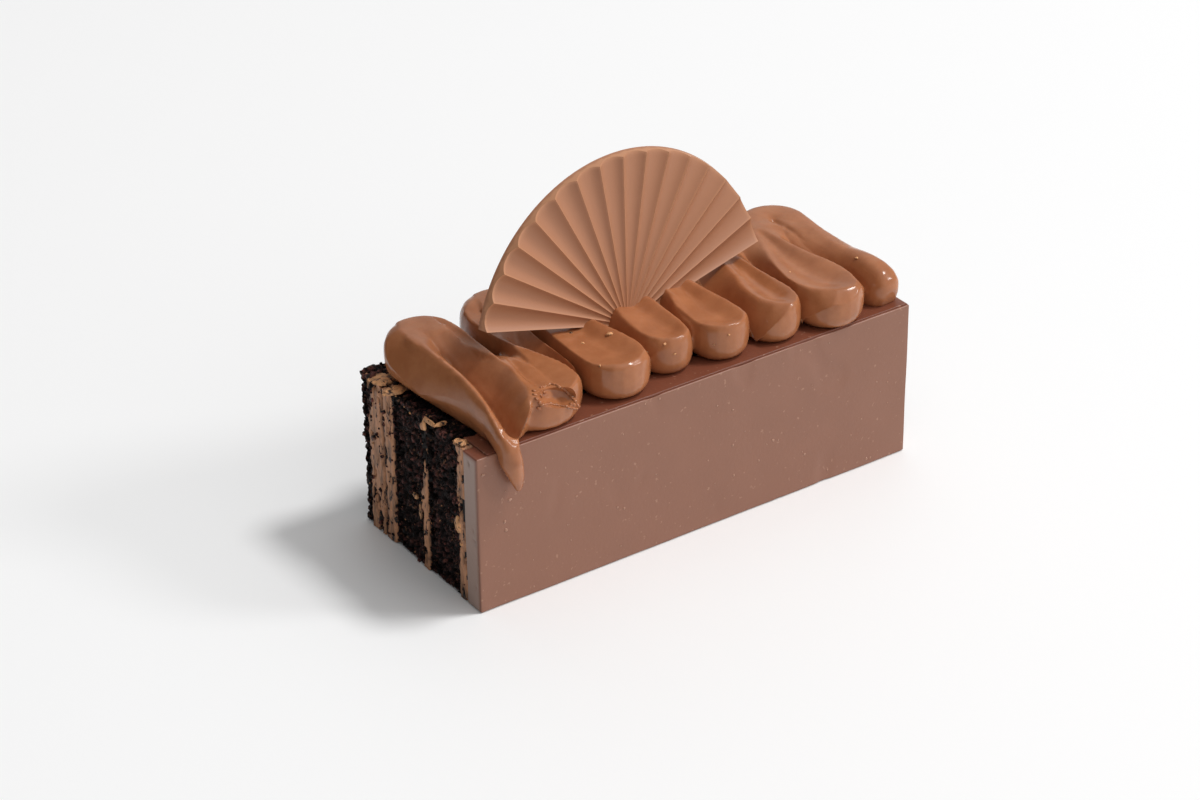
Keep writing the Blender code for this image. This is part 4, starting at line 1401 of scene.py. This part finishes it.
class CAKE_OT_fan(bpy.types.Operator):
    """Make the fluted fan of moulded milk chocolate"""

    bl_idname = "cake.fan"
    bl_label = "Chocolate Fan"

    FLUTES = 16
    # Grid of the mesh: steps across a flute and points along its front. The plain back has one point
    # for each so many of the front's, and the rim has points at these shares of the thickness.
    STEPS = 16
    FRONT_POINTS = 48
    BACK_STEP = 6
    RIM_SHARES = (0.25, 0.5, 0.75)
    SPAN = math.radians(152.5)
    HUB = 1.5 * MM
    DEPTH_SHARE = 0.19
    SQUARENESS = 2.4
    PIVOT = (56.4 * MM, 22.5 * MM, 45.6 * MM)
    LEAN = math.radians(4.6)
    YAW = math.radians(4.0)
    ROLL = math.radians(2.5)
    SHARP_ANGLE = math.radians(32)
    # Painted highlights along the edges: where they fade out from a ridge and in from the rim, and how strong
    # a ridge's painted highlight is. Past this share of the thickness, towards the back, nothing is painted.
    RIDGE_HIGHLIGHT = (0.05 * MM, 0.4 * MM)
    RIM_HIGHLIGHT = (1.3 * MM, 0.7 * MM)
    RIDGE_SHARE = 0.7
    BACK_FROM = 0.75

    def execute(self, context):
        settings = context.scene.cake_fan
        bm = self.spin_sector(settings)
        self.cut_flutes(bm, settings)
        # Store how much painted highlight each point gets
        edge = bm.verts.layers.float.new("edge")
        for vert in bm.verts:
            vert[edge] = self.painted_highlight_share(vert.co, settings)
        bm.transform(self.placement())
        material = make_fan_material(context.scene.cake_finish)
        piece = add_piece("moulded_fan", bm, material, ["chocolate_fan"])
        piece.data.set_sharp_from_angle(angle=self.SHARP_ANGLE)
        return {"FINISHED"}

    def spin_sector(self, settings):
        """A solid sector of a disc in the XZ plane, with its front at -Y."""
        radii = np.linspace(self.HUB, settings.radius, self.FRONT_POINTS)
        outline = [(radius, 0.0, 0.0) for radius in radii]
        outline += [(settings.radius, settings.thickness * share, 0.0) for share in self.RIM_SHARES]
        outline += [(radius, settings.thickness, 0.0) for radius in radii[:: -self.BACK_STEP]]
        outline.append((self.HUB, settings.thickness, 0.0))
        bm = bmesh.new()
        loop = [bm.verts.new(point) for point in outline]
        edges = [bm.edges.new((a, b)) for a, b in zip(loop, loop[1:] + loop[:1])]
        spun = bmesh.ops.spin(
            bm,
            geom=loop + edges,
            axis=(0, 1, 0),
            cent=(0, 0, 0),
            angle=-self.SPAN,
            steps=self.FLUTES * self.STEPS,
            use_merge=False,
        )
        last_edges = [e for e in spun["geom_last"] if isinstance(e, bmesh.types.BMEdge)]
        bmesh.ops.contextual_create(bm, geom=edges)
        bmesh.ops.contextual_create(bm, geom=last_edges)
        bmesh.ops.recalc_face_normals(bm, faces=bm.faces)
        return bm

    def across_flute(self, place):
        """Where a point lies across its flute: 0 in the middle and 1 at a ridge."""
        flute = math.atan2(place.z, place.x) / self.SPAN * self.FLUTES
        return abs(2 * (flute - math.floor(flute)) - 1)

    def cut_flutes(self, bm, settings):
        """Hollow the flutes out of the front, and narrow the rim towards the front."""
        for vert in bm.verts:
            radius = math.hypot(vert.co.x, vert.co.z)
            share = vert.co.y / settings.thickness
            width = radius * self.SPAN / self.FLUTES
            deep = self.DEPTH_SHARE * width * (1 - self.across_flute(vert.co) ** self.SQUARENESS)
            vert.co.y += deep * (1 - share)
            draft = settings.draft * (1 - vert.co.y / settings.thickness) * max(0.0, radius / settings.radius)
            vert.co.x *= 1 - draft / radius
            vert.co.z *= 1 - draft / radius

    def painted_highlight_share(self, place, settings):
        """How much a point gets the painted highlight: near a ridge or at the front of the rim."""
        if place.y > self.BACK_FROM * settings.thickness:
            return 0.0
        radius = math.hypot(place.x, place.z)
        half_width = radius * self.SPAN / self.FLUTES / 2
        from_ridge = (1 - self.across_flute(place)) * half_width
        ridge = 1 - float(smooth_step(from_ridge, *self.RIDGE_HIGHLIGHT))
        rim = float(smooth_step(radius, *(settings.radius - inset for inset in self.RIM_HIGHLIGHT)))
        return max(self.RIDGE_SHARE * ridge, rim)

    def placement(self):
        """Stand the sector up over its pivot, tipped a little to the right, then lean and turn it."""
        upright = Matrix.Rotation(self.ROLL - (math.pi - self.SPAN) / 2, 4, "Y")
        lean = Matrix.Rotation(-self.LEAN, 4, "X")
        yaw = Matrix.Rotation(self.YAW, 4, "Z")
        return Matrix.Translation(on_bar(*self.PIVOT)) @ yaw @ lean @ upright


class CAKE_OT_stage(bpy.types.Operator):
    """Make the floor, the soft light and the camera"""

    bl_idname = "cake.stage"
    bl_label = "Stage"

    FLOOR_REACH = 4.0
    # The bright sides of the room, each with how narrow it is, and the directions of the lamps
    SKIES = (((0.49, 0.71, 0.5), 4.0), ((0.0, 0.0, 1.0), 4.0), ((0.34, -0.86, 0.38), 2.0))
    WHITE = (1.0, 1.0, 1.0, 1.0)
    DARKEST = 0.02
    LAMPS = ((0.47, -0.21, 0.86), (0.68, -0.50, 0.55))
    LAMP_AWAY = 3.0
    LAMP_SIZE = 0.6

    def execute(self, context):
        settings = context.scene.cake_stage
        self.make_floor(settings)
        self.make_lights(context.scene, settings)
        self.make_camera(context.scene)
        context.scene.view_settings.view_transform = "Standard"
        return {"FINISHED"}

    def make_floor(self, settings):
        """A plain pale floor under the slice."""
        bm = bmesh.new()
        bmesh.ops.create_grid(bm, x_segments=1, y_segments=1, size=self.FLOOR_REACH)
        mesh = bpy.data.meshes.new("floor")
        bm.to_mesh(mesh)
        bm.free()
        material, tree, shader, where = new_material("painted_board")
        grain = add_node(tree, "ShaderNodeTexNoise", {"Vector": where, "Scale": 1 / (30 * MM), "Detail": 2.0})
        shade = add_node(
            tree,
            "ShaderNodeMapRange",
            {"Value": grain.outputs["Fac"], "To Min": 0.55, "To Max": 0.6},
        )
        set_inputs(tree, shader, {"Base Color": (*settings.floor, 1.0), "Roughness": shade.outputs[0]})
        mesh.materials.append(material)
        floor = bpy.data.objects.new("floor", mesh)
        bpy.context.scene.collection.objects.link(floor)

    def make_lights(self, scene, settings):
        """A white room with three bright sides and a dark left one, and two soft lamps on the right."""
        world = bpy.data.worlds.new("soft_studio")
        world.use_nodes = True
        tree = world.node_tree
        towards = add_node(tree, "ShaderNodeTexCoord").outputs["Generated"]
        brightness = self.DARKEST
        powers = (settings.back_sky, settings.top_sky, settings.front_sky)
        for power, (side, focus) in zip(powers, self.SKIES):
            facing = add_node(
                tree,
                "ShaderNodeVectorMath",
                {0: towards, 1: Vector(side).normalized()},
                operation="DOT_PRODUCT",
            )
            lit = add_node(tree, "ShaderNodeMath", {0: facing.outputs["Value"], 1: 0.0}, operation="MAXIMUM")
            lobe = add_node(tree, "ShaderNodeMath", {0: lit.outputs[0], 1: focus}, operation="POWER")
            total = add_node(
                tree,
                "ShaderNodeMath",
                {0: lobe.outputs[0], 1: power, 2: brightness},
                operation="MULTIPLY_ADD",
            )
            brightness = total.outputs[0]
        set_inputs(tree, tree.nodes["Background"], {"Color": self.WHITE, "Strength": brightness})
        scene.world = world
        for name, power, side in zip(("high", "low"), (settings.high_key, settings.low_key), self.LAMPS):
            self.make_light(scene, name, power, Vector(side).normalized() * self.LAMP_AWAY)

    def make_light(self, scene, name, power, place):
        """A round soft light that is aimed at the cake."""
        data = bpy.data.lights.new(name, "AREA")
        data.shape = "DISK"
        data.size = self.LAMP_SIZE
        data.energy = power
        lamp = bpy.data.objects.new(name, data)
        lamp.location = place
        lamp.rotation_euler = (-place).to_track_quat("-Z", "Y").to_euler()
        scene.collection.objects.link(lamp)

    def make_camera(self, scene):
        """A camera at the photograph's place."""
        azimuth, elevation = CAMERA_AZIMUTH, CAMERA_ELEVATION
        forward = Vector(
            (
                math.sin(azimuth) * math.cos(elevation),
                math.cos(azimuth) * math.cos(elevation),
                -math.sin(elevation),
            )
        )
        level = Vector((math.cos(azimuth), -math.sin(azimuth), 0))
        upright = level.cross(forward)
        right = math.cos(CAMERA_ROLL) * level + math.sin(CAMERA_ROLL) * upright
        up = math.cos(CAMERA_ROLL) * upright - math.sin(CAMERA_ROLL) * level
        data = bpy.data.cameras.new("camera")
        data.lens = CAMERA_LENS
        data.sensor_width = CAMERA_SENSOR
        data.sensor_fit = "HORIZONTAL"
        camera = bpy.data.objects.new("camera", data)
        turn = Matrix((right, up, -forward)).transposed().to_4x4()
        camera.matrix_world = Matrix.Translation(CAMERA_PLACE) @ turn
        scene.collection.objects.link(camera)
        scene.camera = camera


class CAKE_PT_panel(bpy.types.Panel):
    """Lists the pieces of the cake"""

    bl_idname = "CAKE_PT_panel"
    bl_label = "Cake Slice"
    bl_space_type = "VIEW_3D"
    bl_region_type = "UI"
    bl_category = "Cake"

    def draw(self, context):
        for operator in PIECE_OPERATORS:
            self.layout.operator(operator.bl_idname)


PIECE_OPERATORS = (
    CAKE_OT_slab,
    CAKE_OT_bands,
    CAKE_OT_sponges,
    CAKE_OT_crumbs,
    CAKE_OT_piping,
    CAKE_OT_flecks,
    CAKE_OT_fan,
    CAKE_OT_stage,
)

SETTING_GROUPS = {
    "cake_bar": CakeBarSettings,
    "cake_piping": CakePipingSettings,
    "cake_fan": CakeFanSettings,
    "cake_finish": CakeFinishSettings,
    "cake_stage": CakeStageSettings,
}


def register():
    for name, group in SETTING_GROUPS.items():
        bpy.utils.register_class(group)
        setattr(bpy.types.Scene, name, PointerProperty(type=group))
    for operator in PIECE_OPERATORS:
        bpy.utils.register_class(operator)
    bpy.utils.register_class(CAKE_PT_panel)


def unregister():
    bpy.utils.unregister_class(CAKE_PT_panel)
    for operator in reversed(PIECE_OPERATORS):
        bpy.utils.unregister_class(operator)
    for name, group in SETTING_GROUPS.items():
        delattr(bpy.types.Scene, name)
        bpy.utils.unregister_class(group)


def main():
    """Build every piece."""
    register()
    bpy.ops.cake.slab()
    bpy.ops.cake.bands()
    bpy.ops.cake.sponges()
    bpy.ops.cake.crumbs()
    bpy.ops.cake.piping()
    bpy.ops.cake.flecks()
    bpy.ops.cake.fan()
    bpy.ops.cake.stage()


if __name__ == "__main__":
    main()
